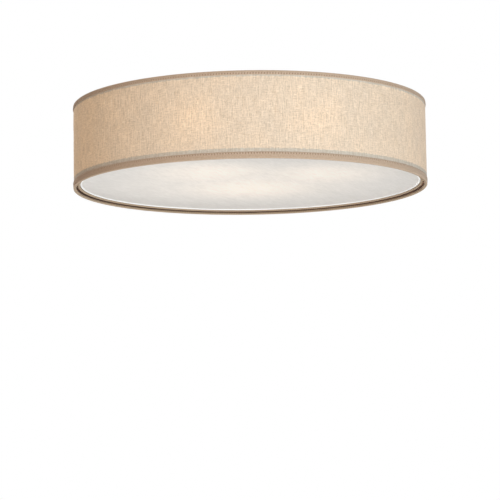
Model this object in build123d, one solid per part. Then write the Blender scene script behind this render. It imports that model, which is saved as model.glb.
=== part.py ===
"""Flush mount ceiling light with a fabric drum shade.

A steel canopy is screwed to a crossbar on the outlet box. Three lamps lie flat under it, pointing outwards.
A drum shade hangs on three studs, each with a knurled nut. A framed diffuser closes the shade from below,
held by magnets on small brackets inside the shade's lower ring.

The origin is the centre of the ceiling plane, +Z is up into the ceiling, and the light hangs below it.
Every length is in millimetres and every angle in degrees, counted from +X towards +Y.
"""

import os
from math import cos, degrees, radians, sin, sqrt

from build123d import *

# Drum shade
SHADE_DIAMETER = 508.0
SHADE_HEIGHT = 119.4
CEILING_GAP = 6.0
FABRIC_THICKNESS = 0.35
LINER_THICKNESS = 0.35
SEAM_OVERLAP = 12.0
SEAM_ANGLE = 90.0

# Trim tape, folded over the wire rings of the shade
TAPE_THICKNESS = 0.5
TAPE_CORNER = 0.4
BOTTOM_TAPE_OUTSIDE = 9.0
BOTTOM_TAPE_INSIDE = 12.0
TOP_TAPE_OUTSIDE = 5.8
TOP_TAPE_INSIDE = 8.0
RING_WIRE_DIAMETER = 2.2
RING_GLUE = 0.15

# Arms that carry the shade, with their studs and nuts
ARM_ANGLES = (39.0, 159.0, 279.0)
ARM_WIDTH = 14.0
ARM_THICKNESS = 2.0
ARM_CLEARANCE = 8.0
ARM_SLOPE_RUN = 6.0
ARM_END_MARGIN = 9.0
STUD_INSET = 22.0
STUD_DIAMETER = 4.16
STUD_HEAD_DIAMETER = 9.0
STUD_HEAD_THICKNESS = 1.5
STUD_PROJECTION = 24.0
STUD_HOLE_CLEARANCE = 0.35
NUT_DIAMETER = 12.0
NUT_HEIGHT = 9.0
NUT_TEETH = 28
NUT_TOOTH_DEPTH = 0.5
NUT_BORE_CLEARANCE = 0.05

# Diffuser and the magnets that hold it
DIFFUSER_GAP = 2.0
DIFFUSER_RECESS = 4.0
PANEL_THICKNESS = 1.5
HOOP_WIRE_DIAMETER = 2.5
HOOP_GLUE = 0.15
HOOP_TAPE_OPENING = 1.2
HOOP_TAPE_CORNER = 1.4
DIFFUSER_TAPE_INSIDE = 5.0
BEAD_WIDTH = 2.7
BEAD_HEIGHT = 1.4
BEAD_CORNER = 0.6
MAGNET_ANGLES = (-30.0, 90.0, 210.0)
MAGNET_WIDTH = 5.0
MAGNET_LENGTH = 16.0
MAGNET_THICKNESS = 3.0
MAGNET_GAP = 0.15
STRIKE_THICKNESS = 0.6
STRIKE_LENGTH = 20.0
STRIKE_MARGIN = 0.2
MAGNET_BRACKET_WIDTH = 18.0
MAGNET_BRACKET_THICKNESS = 1.2
MAGNET_BRACKET_LAP = 1.0

# Canopy
CANOPY_DIAMETER = 300.0
CANOPY_DEPTH = 24.0
CANOPY_THICKNESS = 1.0
CANOPY_SHOULDER = 9.0
BUSHING_HOLE_DIAMETER = 22.0
BUSHING_WALL = 1.6
BUSHING_FLANGE = 2.5
BUSHING_FLANGE_THICKNESS = 1.4
PAD_INNER_RADIUS = 76.0
PAD_SIDE_CLEARANCE = 8.0
PAD_THICKNESS = 12.0
PAD_STUD_CLEARANCE = 1.5

# Crossbar and what fastens the canopy to it
CROSSBAR_LENGTH = 128.0
CROSSBAR_WIDTH = 22.0
CROSSBAR_THICKNESS = 2.0
CROSSBAR_CORNER = 4.0
BOX_SCREW_SPACING = 88.9
BOX_SLOT_LENGTH = 11.0
BOX_SLOT_WIDTH = 4.8
CENTRE_HOLE_DIAMETER = 9.8
CANOPY_SCREW_SPACING = 112.0
CANOPY_SCREW_DIAMETER = 4.16
CANOPY_SCREW_PROJECTION = 8.0
WASHER_DIAMETER = 8.4
WASHER_THICKNESS = 1.0
CAP_NUT_DIAMETER = 11.0
CAP_NUT_BARREL = 6.0
CAP_NUT_NECK_DIAMETER = 7.0
FASTENER_CLEARANCE = 0.05

# Ground wire and its screws
GROUND_SCREW_X = -24.0
GROUND_SCREW_DIAMETER = 4.0
GROUND_SCREW_HEAD_DIAMETER = 9.0
GROUND_SCREW_HEAD_HEIGHT = 2.4
GROUND_WIRE_DIAMETER = 1.6
GROUND_WIRE_REACH = 50.0
GROUND_WIRE_LEVEL_RUN = 14.0
GROUND_WIRE_BEND_RADIUS = 12.0

# Lampholders: along each lamp's axis, lengths run outwards from the centre of the light
LAMP_ANGLES = (99.0, -21.0, -141.0)
LAMP_DROP = 70.0
HOLDER_BACK = 17.0
HOLDER_DIAMETER = 38.0
HOLDER_LENGTH = 38.0
HOLDER_BACK_WALL = 6.0
HOLDER_RIM_DIAMETER = 34.0
HOLDER_RIM_LENGTH = 10.0
SHELL_THICKNESS = 0.5
SHELL_SEAT = 6.0
SHELL_CLEARANCE = 0.4
SHELL_RECESS = 2.5
CONTACT_WIDTH = 6.0
CONTACT_THICKNESS = 0.4
CONTACT_CLEARANCE = 0.3
CONTACT_REACH = 8.0
CONTACT_TONGUE = 1.6

# Lampholder bracket
BRACKET_THICKNESS = 1.5
BRACKET_WIDTH = 32.0
BRACKET_DROP = 16.0
BRACKET_FLANGE = 22.0
BRACKET_WIRE_HOLE = 16.0
BRACKET_RIVET_SPACING = 18.0
BRACKET_RIVET_INSET = 11.0
RIVET_DIAMETER = 3.2
RIVET_HEAD_DIAMETER = 6.0
RIVET_HEAD_THICKNESS = 1.0
HOLDER_SCREW_SPACING = 24.0
HOLDER_SCREW_DIAMETER = 3.0
HOLDER_SCREW_HEAD_DIAMETER = 5.5
HOLDER_SCREW_HEAD_HEIGHT = 1.8
HOLDER_SCREW_GRIP = 4.0

# Bulb: lengths run from the tip of its centre contact
BULB_TIP_PLACE = 26.0
GLOBE_DIAMETER = 60.0
GLOBE_PLACE = 78.0
GLASS_THICKNESS = 0.8
NECK_DIAMETER = 27.0
NECK_BLEND_RADIUS = 40.0
NECK_STUB_LENGTH = 10.0
NECK_STUB_CLEARANCE = 0.2
CAP_DIAMETER = 26.0
CAP_THICKNESS = 0.5
CAP_START = 6.0
CAP_END = 27.0
THREAD_START = 10.0
THREAD_PITCH = 3.629
THREAD_DEPTH = 0.8
THREAD_ROUND = 1.1
THREAD_TURNS = 4
INSULATOR_TOP_DIAMETER = 11.0
INSULATOR_START = 1.6
TIP_DIAMETER = 9.0
TIP_CORNER = 1.0

# Wiring
LEAD_DIAMETER = 2.2
LEAD_SPACING = 8.0
LEAD_HOLE_CLEARANCE = 0.15
LEAD_SOCKET_DEPTH = 3.0
LEAD_STRAIGHT = 2.0
LIVE_RING_RADIUS = 7.0
NEUTRAL_RING_RADIUS = 3.2
LEAD_RING_ANGLE = 30.0
LIVE_SPLICE_DROP = 9.0
NEUTRAL_SPLICE_DROP = 15.0
LEAD_EXIT_BEND = 6.0
LEAD_LOWER_BEND = 6.5
LEAD_UPPER_BEND = 6.0
LEAD_GATHER_BEND = 9.0
LEAD_GATHER_PLACE = 21.0
SPLICE_BUNDLE_RADIUS = 1.5
SPLICE_NUT_PLACE = 26.0
SPLICE_NUT_LENGTH = 24.0
SPLICE_NUT_MOUTH_DIAMETER = 13.0
SPLICE_NUT_TIP_DIAMETER = 8.0
SPLICE_NUT_CLEARANCE = 0.3
SPLICE_DEPTH = 13.0

# Radii and heights that follow from the sizes above
OUTER_RADIUS = SHADE_DIAMETER / 2
FABRIC_RADIUS = OUTER_RADIUS - TAPE_THICKNESS
LINER_RADIUS = FABRIC_RADIUS - FABRIC_THICKNESS
WALL_INNER_RADIUS = LINER_RADIUS - LINER_THICKNESS
SHADE_TOP = -CEILING_GAP
SHADE_BOTTOM = SHADE_TOP - SHADE_HEIGHT
RING_RADIUS = WALL_INNER_RADIUS - RING_GLUE - RING_WIRE_DIAMETER / 2
ROLL_RADIUS = RING_WIRE_DIAMETER / 2 + TAPE_THICKNESS
TOP_RING_Z = SHADE_TOP - ROLL_RADIUS
BOTTOM_RING_Z = SHADE_BOTTOM + ROLL_RADIUS

DIFFUSER_RADIUS = RING_RADIUS - ROLL_RADIUS - DIFFUSER_GAP
DIFFUSER_BOTTOM = SHADE_BOTTOM + DIFFUSER_RECESS
HOOP_ROLL_RADIUS = HOOP_WIRE_DIAMETER / 2 + TAPE_THICKNESS
HOOP_RADIUS = DIFFUSER_RADIUS - HOOP_ROLL_RADIUS
HOOP_Z = DIFFUSER_BOTTOM + HOOP_ROLL_RADIUS
PANEL_RADIUS = DIFFUSER_RADIUS - TAPE_THICKNESS
PANEL_BOTTOM = HOOP_Z + HOOP_WIRE_DIAMETER / 2 + HOOP_GLUE
PANEL_TOP = PANEL_BOTTOM + PANEL_THICKNESS
STRIKE_BOTTOM = PANEL_TOP + TAPE_THICKNESS
MAGNET_RADIUS = DIFFUSER_RADIUS - DIFFUSER_TAPE_INSIDE / 2
MAGNET_BOTTOM = STRIKE_BOTTOM + STRIKE_THICKNESS + MAGNET_GAP
MAGNET_TOP = MAGNET_BOTTOM + MAGNET_THICKNESS

CANOPY_RADIUS = CANOPY_DIAMETER / 2
STUD_CIRCLE_RADIUS = CANOPY_RADIUS - STUD_INSET
CANOPY_BOTTOM = -CANOPY_DEPTH
CANOPY_FLOOR = CANOPY_BOTTOM + CANOPY_THICKNESS
ARM_BOTTOM = CANOPY_BOTTOM - ARM_THICKNESS
GROUND_EYE_RADIUS = GROUND_SCREW_DIAMETER / 2 + FASTENER_CLEARANCE + GROUND_WIRE_DIAMETER / 2

LAMP_Z = -LAMP_DROP
HOLDER_FRONT = HOLDER_BACK + HOLDER_LENGTH
HOLDER_FLOOR = HOLDER_BACK + HOLDER_BACK_WALL
SHELL_RADIUS = CAP_DIAMETER / 2 + SHELL_CLEARANCE + SHELL_THICKNESS
BRACKET_BACK = HOLDER_BACK - BRACKET_THICKNESS
CAP_ROOT_RADIUS = CAP_DIAMETER / 2 - THREAD_DEPTH
CAP_INNER_RADIUS = CAP_ROOT_RADIUS - CAP_THICKNESS
LIVE_SPLICE_ANGLE = LAMP_ANGLES[0] + LEAD_RING_ANGLE
NEUTRAL_SPLICE_ANGLE = LAMP_ANGLES[1] - LEAD_RING_ANGLE


# Shapes that several pieces share


def section(r_low, r_high, z_low, z_high):
    """A rectangle in the half plane of a turned piece."""
    return Pos((r_low + r_high) / 2, (z_low + z_high) / 2) * Rectangle(r_high - r_low, z_high - z_low)


def wire_section(r, z, radius):
    """A round section in the half plane of a turned piece."""
    return Pos(r, z) * Circle(radius)


def outlined(points):
    """A face with straight sides through the points."""
    return make_face(Polyline(*points, close=True))


def rounded(face, corner, radius):
    """The face with the vertex nearest to one point rounded off."""
    vertex = face.vertices().sort_by_distance((*corner, 0))[0]
    return fillet(vertex, radius)


def turned(face, arc=360.0):
    """A piece turned about the light's own axis."""
    return revolve(Plane.XZ * face, Axis.Z, arc)


def bar(diameter, z_low, z_high, x=0.0, y=0.0):
    """A plain round bar along Z."""
    return Pos(x, y, (z_low + z_high) / 2) * Cylinder(diameter / 2, z_high - z_low)


def at_angle(angle, shape):
    """The shape turned about the light's own axis."""
    return Rot(0, 0, angle) * shape


def polar(radius, angle, z=0.0):
    """A point at a radius and an angle about the light's own axis."""
    return (radius * cos(radians(angle)), radius * sin(radians(angle)), z)


def tube_along(points, radii, diameter):
    """A wire of constant diameter, along straight runs joined by tangent arcs."""
    path = FilletPolyline(*points, radius=radii)
    return sweep(Plane(origin=path @ 0, z_dir=path % 0) * Circle(diameter / 2), path)


def lamp_plane(angle):
    """Z along the lamp, outwards, Y up, and the origin on the light's own axis."""
    return Plane(origin=(0, 0, LAMP_Z), x_dir=polar(1, angle + 90), z_dir=polar(1, angle))


# Drum shade


def shade_fabric():
    """The outer cloth, with its glued overlap standing proud at the back."""
    low = SHADE_BOTTOM + TAPE_THICKNESS
    high = SHADE_TOP - TAPE_THICKNESS
    flap_low = SHADE_BOTTOM + BOTTOM_TAPE_OUTSIDE
    flap_high = SHADE_TOP - TOP_TAPE_OUTSIDE
    flap = section(FABRIC_RADIUS, FABRIC_RADIUS + FABRIC_THICKNESS, flap_low, flap_high)
    overlap = turned(flap, degrees(SEAM_OVERLAP / FABRIC_RADIUS))
    return turned(section(LINER_RADIUS, FABRIC_RADIUS, low, high)) + at_angle(SEAM_ANGLE, overlap)


def shade_liner():
    """The clear styrene sheet that the cloth is laminated to."""
    low = SHADE_BOTTOM + TAPE_THICKNESS
    high = SHADE_TOP - TAPE_THICKNESS
    return turned(section(WALL_INNER_RADIUS, LINER_RADIUS, low, high))


def ring_wire(z):
    return turned(wire_section(RING_RADIUS, z, RING_WIRE_DIAMETER / 2))


def shade_tape(edge, inward, outside, inside):
    """Tape glued to the outside, rolled around the wall's edge and the wire, and up the liner.

    The edge is the height of the shade's end, and inward is the way from it into the shade.
    """

    def band(r_low, r_high, start, end):
        return section(r_low, r_high, *sorted((edge + inward * start, edge + inward * end)))

    ring_z = edge + inward * ROLL_RADIUS
    tape = band(RING_RADIUS, OUTER_RADIUS, 0, ROLL_RADIUS)
    tape += band(FABRIC_RADIUS, OUTER_RADIUS, 0, outside)
    tape = rounded(tape, (OUTER_RADIUS, edge), TAPE_CORNER)
    tape += wire_section(RING_RADIUS, ring_z, ROLL_RADIUS)
    tape += band(WALL_INNER_RADIUS - TAPE_THICKNESS, WALL_INNER_RADIUS, ROLL_RADIUS, inside)
    tape -= band(WALL_INNER_RADIUS, FABRIC_RADIUS, TAPE_THICKNESS, outside + inside)
    return turned(tape - wire_section(RING_RADIUS, ring_z, RING_WIRE_DIAMETER / 2))


def shade_arm(angle):
    """A flat arm from the top ring, stepped down past the canopy and in under it to its stud."""
    step = CANOPY_RADIUS + ARM_CLEARANCE
    inner_end = STUD_CIRCLE_RADIUS - ARM_END_MARGIN
    upper = TOP_RING_Z + ARM_THICKNESS / 2
    lower = TOP_RING_Z - ARM_THICKNESS / 2
    outline = [
        (RING_RADIUS, upper),
        (step + ARM_SLOPE_RUN, upper),
        (step, CANOPY_BOTTOM),
        (inner_end, CANOPY_BOTTOM),
        (inner_end, ARM_BOTTOM),
        (step + ARM_THICKNESS, ARM_BOTTOM),
        (step + ARM_SLOPE_RUN + ARM_THICKNESS, lower),
        (RING_RADIUS, lower),
    ]
    arm = extrude(Plane.XZ * outlined(outline), ARM_WIDTH / 2, both=True)
    hole_diameter = STUD_DIAMETER + 2 * STUD_HOLE_CLEARANCE
    arm -= bar(hole_diameter, ARM_BOTTOM, CANOPY_BOTTOM, STUD_CIRCLE_RADIUS)
    return at_angle(angle, arm) - ring_wire(TOP_RING_Z)


def shade_studs():
    """Screws that hang through the canopy's floor, one for each arm."""
    stud = bar(STUD_HEAD_DIAMETER, CANOPY_FLOOR, CANOPY_FLOOR + STUD_HEAD_THICKNESS, STUD_CIRCLE_RADIUS)
    stud += bar(STUD_DIAMETER, CANOPY_BOTTOM - STUD_PROJECTION, CANOPY_FLOOR, STUD_CIRCLE_RADIUS)
    return [at_angle(angle, stud) for angle in ARM_ANGLES]


def shade_nut(angle):
    """A knurled thumb nut against the underside of an arm."""
    tip = NUT_DIAMETER / 2
    root = tip - NUT_TOOTH_DEPTH
    half_step = 180 / NUT_TEETH
    knurl = [polar(tip if k % 2 else root, k * half_step)[:2] for k in range(2 * NUT_TEETH)]
    profile = outlined(knurl) - Circle(STUD_DIAMETER / 2 + NUT_BORE_CLEARANCE)
    nut = extrude(Plane.XY.offset(ARM_BOTTOM - NUT_HEIGHT) * profile, NUT_HEIGHT)
    return at_angle(angle, Pos(STUD_CIRCLE_RADIUS, 0, 0) * nut)


# Diffuser


def magnet_bracket(angle):
    """A small steel angle, welded upright on the lower ring, with its foot over the diffuser's rim."""
    inner_end = MAGNET_RADIUS - MAGNET_WIDTH / 2 - MAGNET_BRACKET_LAP
    top = MAGNET_TOP + MAGNET_BRACKET_THICKNESS
    outline = section(RING_RADIUS - MAGNET_BRACKET_THICKNESS, RING_RADIUS, BOTTOM_RING_Z, top)
    outline += section(inner_end, RING_RADIUS, MAGNET_TOP, top)
    bracket = extrude(Plane.XZ * outline, MAGNET_BRACKET_WIDTH / 2, both=True)
    return at_angle(angle, bracket) - ring_wire(BOTTOM_RING_Z)


def diffuser_magnet(angle):
    magnet = Box(MAGNET_WIDTH, MAGNET_LENGTH, MAGNET_THICKNESS)
    return at_angle(angle, Pos(MAGNET_RADIUS, 0, (MAGNET_BOTTOM + MAGNET_TOP) / 2) * magnet)


def strike_plate(angle):
    """A thin steel arc glued on the taped rim of the diffuser, under a magnet."""
    inner = DIFFUSER_RADIUS - DIFFUSER_TAPE_INSIDE + STRIKE_MARGIN
    outer = DIFFUSER_RADIUS - STRIKE_MARGIN
    arc = degrees(STRIKE_LENGTH / MAGNET_RADIUS)
    strike = turned(section(inner, outer, STRIKE_BOTTOM, STRIKE_BOTTOM + STRIKE_THICKNESS), arc)
    return at_angle(angle - arc / 2, strike)


def diffuser_panel():
    """The flat acrylic disc."""
    return bar(2 * PANEL_RADIUS, PANEL_BOTTOM, PANEL_TOP)


def diffuser_hoop():
    return turned(wire_section(HOOP_RADIUS, HOOP_Z, HOOP_WIRE_DIAMETER / 2))


def diffuser_trim():
    """Tape wound around the hoop, up the disc's edge and over onto its top.

    Its two edges leave the wire bare in a narrow line under the disc.
    """
    tape = section(HOOP_RADIUS, DIFFUSER_RADIUS, DIFFUSER_BOTTOM, STRIKE_BOTTOM)
    tape = rounded(tape, (DIFFUSER_RADIUS, DIFFUSER_BOTTOM), HOOP_TAPE_CORNER)
    tape += wire_section(HOOP_RADIUS, HOOP_Z, HOOP_ROLL_RADIUS)
    tape += section(DIFFUSER_RADIUS - DIFFUSER_TAPE_INSIDE, DIFFUSER_RADIUS, PANEL_TOP, STRIKE_BOTTOM)
    tape = rounded(tape, (DIFFUSER_RADIUS, STRIKE_BOTTOM), TAPE_CORNER)
    tape -= section(0, PANEL_RADIUS, PANEL_BOTTOM, PANEL_TOP)
    half_opening = HOOP_TAPE_OPENING / 2
    tape -= section(HOOP_RADIUS - half_opening, HOOP_RADIUS + half_opening, HOOP_Z, PANEL_BOTTOM)
    return turned(tape - wire_section(HOOP_RADIUS, HOOP_Z, HOOP_WIRE_DIAMETER / 2))


def diffuser_bead():
    """The white bead that seals the disc to the inside of its taped hoop."""
    outer = HOOP_RADIUS - HOOP_ROLL_RADIUS
    low = PANEL_BOTTOM - BEAD_HEIGHT
    bead = section(outer - BEAD_WIDTH, outer, low, PANEL_BOTTOM)
    bead = rounded(bead, (outer - BEAD_WIDTH, low), BEAD_CORNER)
    return turned(rounded(bead, (outer, low), BEAD_CORNER))


# Canopy, crossbar and their fasteners


def at_canopy_screws(shape):
    """Copies of a shape at both canopy screws."""
    return [Pos(side * CANOPY_SCREW_SPACING / 2, 0, 0) * shape for side in (-1, 1)]


def rivet_places():
    """The (x, y) centres of the rivets of every lampholder bracket."""
    along = BRACKET_BACK + BRACKET_RIVET_INSET
    places = []
    for angle in LAMP_ANGLES:
        ahead = Vector(polar(along, angle))
        aside = Vector(polar(BRACKET_RIVET_SPACING / 2, angle + 90))
        places += [ahead + aside, ahead - aside]
    return [(place.X, place.Y) for place in places]


def ground_screw_places():
    """The (x, y) centres of the ground screws, on the crossbar and on the canopy's floor."""
    return [(GROUND_SCREW_X, 0), (GROUND_SCREW_X - 2 * GROUND_EYE_RADIUS, -GROUND_WIRE_REACH)]


def ceiling_canopy():
    """The pressed steel pan against the ceiling, open at the top."""
    outside = section(0, CANOPY_RADIUS, CANOPY_BOTTOM, 0)
    outside = rounded(outside, (CANOPY_RADIUS, CANOPY_BOTTOM), CANOPY_SHOULDER)
    inner_radius = CANOPY_RADIUS - CANOPY_THICKNESS
    inside = section(0, inner_radius, CANOPY_FLOOR, 0)
    inside = rounded(inside, (inner_radius, CANOPY_FLOOR), CANOPY_SHOULDER - CANOPY_THICKNESS)
    canopy = turned(outside - inside) - bar(BUSHING_HOLE_DIAMETER, CANOPY_BOTTOM, CANOPY_FLOOR)
    screw_hole = bar(CANOPY_SCREW_DIAMETER + 2 * FASTENER_CLEARANCE, CANOPY_BOTTOM, CANOPY_FLOOR)
    for hole in at_canopy_screws(screw_hole):
        canopy -= hole
    for angle in ARM_ANGLES:
        canopy -= at_angle(angle, bar(STUD_DIAMETER, CANOPY_BOTTOM, CANOPY_FLOOR, STUD_CIRCLE_RADIUS))
    for x, y in rivet_places():
        canopy -= bar(RIVET_DIAMETER, CANOPY_BOTTOM, CANOPY_FLOOR, x, y)
    return canopy - bar(GROUND_SCREW_DIAMETER, CANOPY_BOTTOM, CANOPY_FLOOR, *ground_screw_places()[1])


def wire_bushing():
    """The plastic sleeve that the leads pass through, with a flange on each side of the floor."""
    bore = BUSHING_HOLE_DIAMETER / 2 - BUSHING_WALL
    rim = BUSHING_HOLE_DIAMETER / 2 + BUSHING_FLANGE
    low = CANOPY_BOTTOM - BUSHING_FLANGE_THICKNESS
    high = CANOPY_FLOOR + BUSHING_FLANGE_THICKNESS
    sleeve = section(bore, BUSHING_HOLE_DIAMETER / 2, low, high)
    return turned(sleeve + section(bore, rim, low, CANOPY_BOTTOM) + section(bore, rim, CANOPY_FLOOR, high))


def insulation_pad():
    """The glass fibre ring laid in the canopy above the lamps."""
    outer = CANOPY_RADIUS - CANOPY_THICKNESS - PAD_SIDE_CLEARANCE
    top = CANOPY_FLOOR + PAD_THICKNESS
    pad = turned(section(PAD_INNER_RADIUS, outer, CANOPY_FLOOR, top))
    hole = bar(STUD_HEAD_DIAMETER + 2 * PAD_STUD_CLEARANCE, CANOPY_FLOOR, top, STUD_CIRCLE_RADIUS)
    for angle in ARM_ANGLES:
        pad -= at_angle(angle, hole)
    return pad


def mounting_crossbar():
    """The flat bar that goes on the outlet box, slotted for its screws."""
    outline = RectangleRounded(CROSSBAR_LENGTH, CROSSBAR_WIDTH, CROSSBAR_CORNER)
    outline -= Circle(CENTRE_HOLE_DIAMETER / 2)
    slot = SlotCenterToCenter(BOX_SLOT_LENGTH - BOX_SLOT_WIDTH, BOX_SLOT_WIDTH)
    for side in (-1, 1):
        outline -= Pos(side * BOX_SCREW_SPACING / 2, 0) * slot
        outline -= Pos(side * CANOPY_SCREW_SPACING / 2, 0) * Circle(CANOPY_SCREW_DIAMETER / 2)
    outline -= Pos(*ground_screw_places()[0]) * Circle(GROUND_SCREW_DIAMETER / 2)
    return extrude(Plane.XY.offset(-CROSSBAR_THICKNESS) * outline, CROSSBAR_THICKNESS)


def canopy_screws():
    """Threaded rods from the crossbar down through the canopy."""
    return at_canopy_screws(bar(CANOPY_SCREW_DIAMETER, CANOPY_BOTTOM - CANOPY_SCREW_PROJECTION, 0))


def canopy_washers():
    low = CANOPY_BOTTOM - WASHER_THICKNESS
    hole = bar(CANOPY_SCREW_DIAMETER + 2 * FASTENER_CLEARANCE, low, CANOPY_BOTTOM)
    return at_canopy_screws(bar(WASHER_DIAMETER, low, CANOPY_BOTTOM) - hole)


def canopy_nuts():
    """Domed cap nuts, drawn in to a neck under the washer."""
    radius = CAP_NUT_DIAMETER / 2
    neck = CAP_NUT_NECK_DIAMETER / 2
    top = CANOPY_BOTTOM - WASHER_THICKNESS
    dome_z = top - CAP_NUT_BARREL
    half = section(0, radius, dome_z - radius, dome_z)
    profile = outlined([(0, dome_z), (radius, dome_z), (radius, top - radius + neck), (neck, top), (0, top)])
    profile += wire_section(0, dome_z, radius) & half
    bore = bar(CANOPY_SCREW_DIAMETER + 2 * FASTENER_CLEARANCE, CANOPY_BOTTOM - CANOPY_SCREW_PROJECTION, top)
    return at_canopy_screws(turned(profile) - bore)


def ground_screws():
    """Screws with their head over an eye of the ground wire: one up into the crossbar, one down."""
    head_top = -GROUND_WIRE_DIAMETER
    head = bar(GROUND_SCREW_HEAD_DIAMETER, head_top - GROUND_SCREW_HEAD_HEIGHT, head_top)
    screw = head + bar(GROUND_SCREW_DIAMETER, head_top, CROSSBAR_THICKNESS)
    upper, lower = ground_screw_places()
    return [Pos(*upper, -CROSSBAR_THICKNESS) * screw, Pos(*lower, CANOPY_FLOOR) * Rot(180, 0, 0) * screw]


def ground_wire():
    """Bare copper with an eye at each end, from the crossbar down to the canopy's floor."""
    upper, lower = ground_screw_places()
    upper_z = -CROSSBAR_THICKNESS - GROUND_WIRE_DIAMETER / 2
    lower_z = CANOPY_FLOOR + GROUND_WIRE_DIAMETER / 2
    x = GROUND_SCREW_X - GROUND_EYE_RADIUS
    run = [
        (x, 0, upper_z),
        (x, -GROUND_WIRE_LEVEL_RUN, upper_z),
        (x, GROUND_WIRE_LEVEL_RUN - GROUND_WIRE_REACH, lower_z),
        (x, -GROUND_WIRE_REACH, lower_z),
    ]
    eye = Torus(GROUND_EYE_RADIUS, GROUND_WIRE_DIAMETER / 2)
    wire = tube_along(run, GROUND_WIRE_BEND_RADIUS, GROUND_WIRE_DIAMETER)
    return wire + Pos(*upper, upper_z) * eye + Pos(*lower, lower_z) * eye


# Lampholders


def lampholder_bracket(angle):
    """A steel angle under the canopy, with the lampholder screwed to its hanging leg."""
    top = CANOPY_BOTTOM - LAMP_Z
    leg = Pos(0, (top - BRACKET_DROP) / 2) * Rectangle(BRACKET_WIDTH, top + BRACKET_DROP)
    leg -= Circle(BRACKET_WIRE_HOLE / 2)
    for side in (-1, 1):
        hole = Circle(HOLDER_SCREW_DIAMETER / 2 + FASTENER_CLEARANCE)
        leg -= Pos(side * HOLDER_SCREW_SPACING / 2, 0) * hole
    bracket = extrude(Plane.XY.offset(BRACKET_BACK) * leg, BRACKET_THICKNESS)
    flange = Box(BRACKET_WIDTH, BRACKET_THICKNESS, BRACKET_FLANGE)
    bracket += Pos(0, top - BRACKET_THICKNESS / 2, BRACKET_BACK + BRACKET_FLANGE / 2) * flange
    bracket = lamp_plane(angle) * bracket
    for x, y in rivet_places():
        bracket -= bar(RIVET_DIAMETER, CANOPY_BOTTOM - BRACKET_THICKNESS, CANOPY_BOTTOM, x, y)
    return bracket


def bracket_rivets():
    flange_bottom = CANOPY_BOTTOM - BRACKET_THICKNESS
    rivet = bar(RIVET_DIAMETER, flange_bottom, CANOPY_FLOOR)
    rivet += bar(RIVET_HEAD_DIAMETER, flange_bottom - RIVET_HEAD_THICKNESS, flange_bottom)
    rivet += bar(RIVET_HEAD_DIAMETER, CANOPY_FLOOR, CANOPY_FLOOR + RIVET_HEAD_THICKNESS)
    return [Pos(x, y, 0) * rivet for x, y in rivet_places()]


def holder_screws():
    """Two screws for each lampholder, from behind its bracket."""
    screw = bar(HOLDER_SCREW_DIAMETER, BRACKET_BACK, HOLDER_BACK + HOLDER_SCREW_GRIP)
    screw += bar(HOLDER_SCREW_HEAD_DIAMETER, BRACKET_BACK - HOLDER_SCREW_HEAD_HEIGHT, BRACKET_BACK)
    screws = []
    for angle in LAMP_ANGLES:
        for side in (-1, 1):
            screws.append(lamp_plane(angle) * Pos(side * HOLDER_SCREW_SPACING / 2, 0, 0) * screw)
    return screws


def lampholder_body(angle):
    """The moulded cup around the screw shell, with holes at the back for screws and leads."""
    body = bar(HOLDER_DIAMETER, HOLDER_BACK, HOLDER_FRONT - HOLDER_RIM_LENGTH)
    body += bar(HOLDER_RIM_DIAMETER, HOLDER_FRONT - HOLDER_RIM_LENGTH, HOLDER_FRONT)
    body -= bar(2 * SHELL_RADIUS, HOLDER_FLOOR, HOLDER_FRONT)
    lead_hole = LEAD_DIAMETER + 2 * LEAD_HOLE_CLEARANCE
    for side in (-1, 1):
        screw_x = side * HOLDER_SCREW_SPACING / 2
        body -= bar(HOLDER_SCREW_DIAMETER, HOLDER_BACK, HOLDER_BACK + HOLDER_SCREW_GRIP, screw_x)
        body -= bar(lead_hole, HOLDER_BACK, HOLDER_BACK + LEAD_SOCKET_DEPTH, side * LEAD_SPACING / 2)
    return lamp_plane(angle) * body


def screw_shell(angle):
    """The threaded contact's sleeve, drawn with a plain bore."""
    start = HOLDER_FLOOR + SHELL_SEAT
    end = HOLDER_FRONT - SHELL_RECESS
    bore = bar(2 * (SHELL_RADIUS - SHELL_THICKNESS), start, end)
    return lamp_plane(angle) * (bar(2 * SHELL_RADIUS, start, end) - bore)


def centre_contact(angle):
    """The spring tongue on the cup's floor that meets the tip of the bulb."""
    base = HOLDER_FLOOR
    tongue = BULB_TIP_PLACE - CONTACT_CLEARANCE
    outline = [
        (-CONTACT_REACH, base),
        (-CONTACT_REACH / 2, base),
        (-CONTACT_TONGUE, tongue - CONTACT_THICKNESS),
        (CONTACT_TONGUE, tongue - CONTACT_THICKNESS),
        (CONTACT_TONGUE, tongue),
        (-CONTACT_TONGUE, tongue),
        (-CONTACT_REACH / 2, base + CONTACT_THICKNESS),
        (-CONTACT_REACH, base + CONTACT_THICKNESS),
    ]
    return lamp_plane(angle) * extrude(Plane.XZ * outlined(outline), CONTACT_WIDTH / 2, both=True)


# Bulbs


def bulb_outline(wall):
    """Half of the bulb's outline, drawn in by the wall: a neck, a hollow curve and the round globe."""
    neck = NECK_DIAMETER / 2 - wall
    globe = GLOBE_DIAMETER / 2 - wall
    blend = NECK_BLEND_RADIUS + wall
    reach = globe + blend
    blend_place = GLOBE_PLACE - sqrt(reach**2 - (neck + blend) ** 2)
    share = globe / reach
    tangent = (share * (neck + blend), GLOBE_PLACE + share * (blend_place - GLOBE_PLACE))
    top = (0, GLOBE_PLACE + globe)
    edges = [
        Line((0, CAP_END), (neck, CAP_END)),
        Line((neck, CAP_END), (neck, blend_place)),
        RadiusArc((neck, blend_place), tangent, blend),
        ThreePointArc(tangent, (globe, GLOBE_PLACE), top),
        Line(top, (0, CAP_END)),
    ]
    return make_face(edges)


def on_lamp(angle, face):
    """A piece of a bulb, turned about its lamp's axis from lengths counted from the bulb's tip."""
    return lamp_plane(angle) * Pos(0, 0, BULB_TIP_PLACE) * turned(face)


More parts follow.
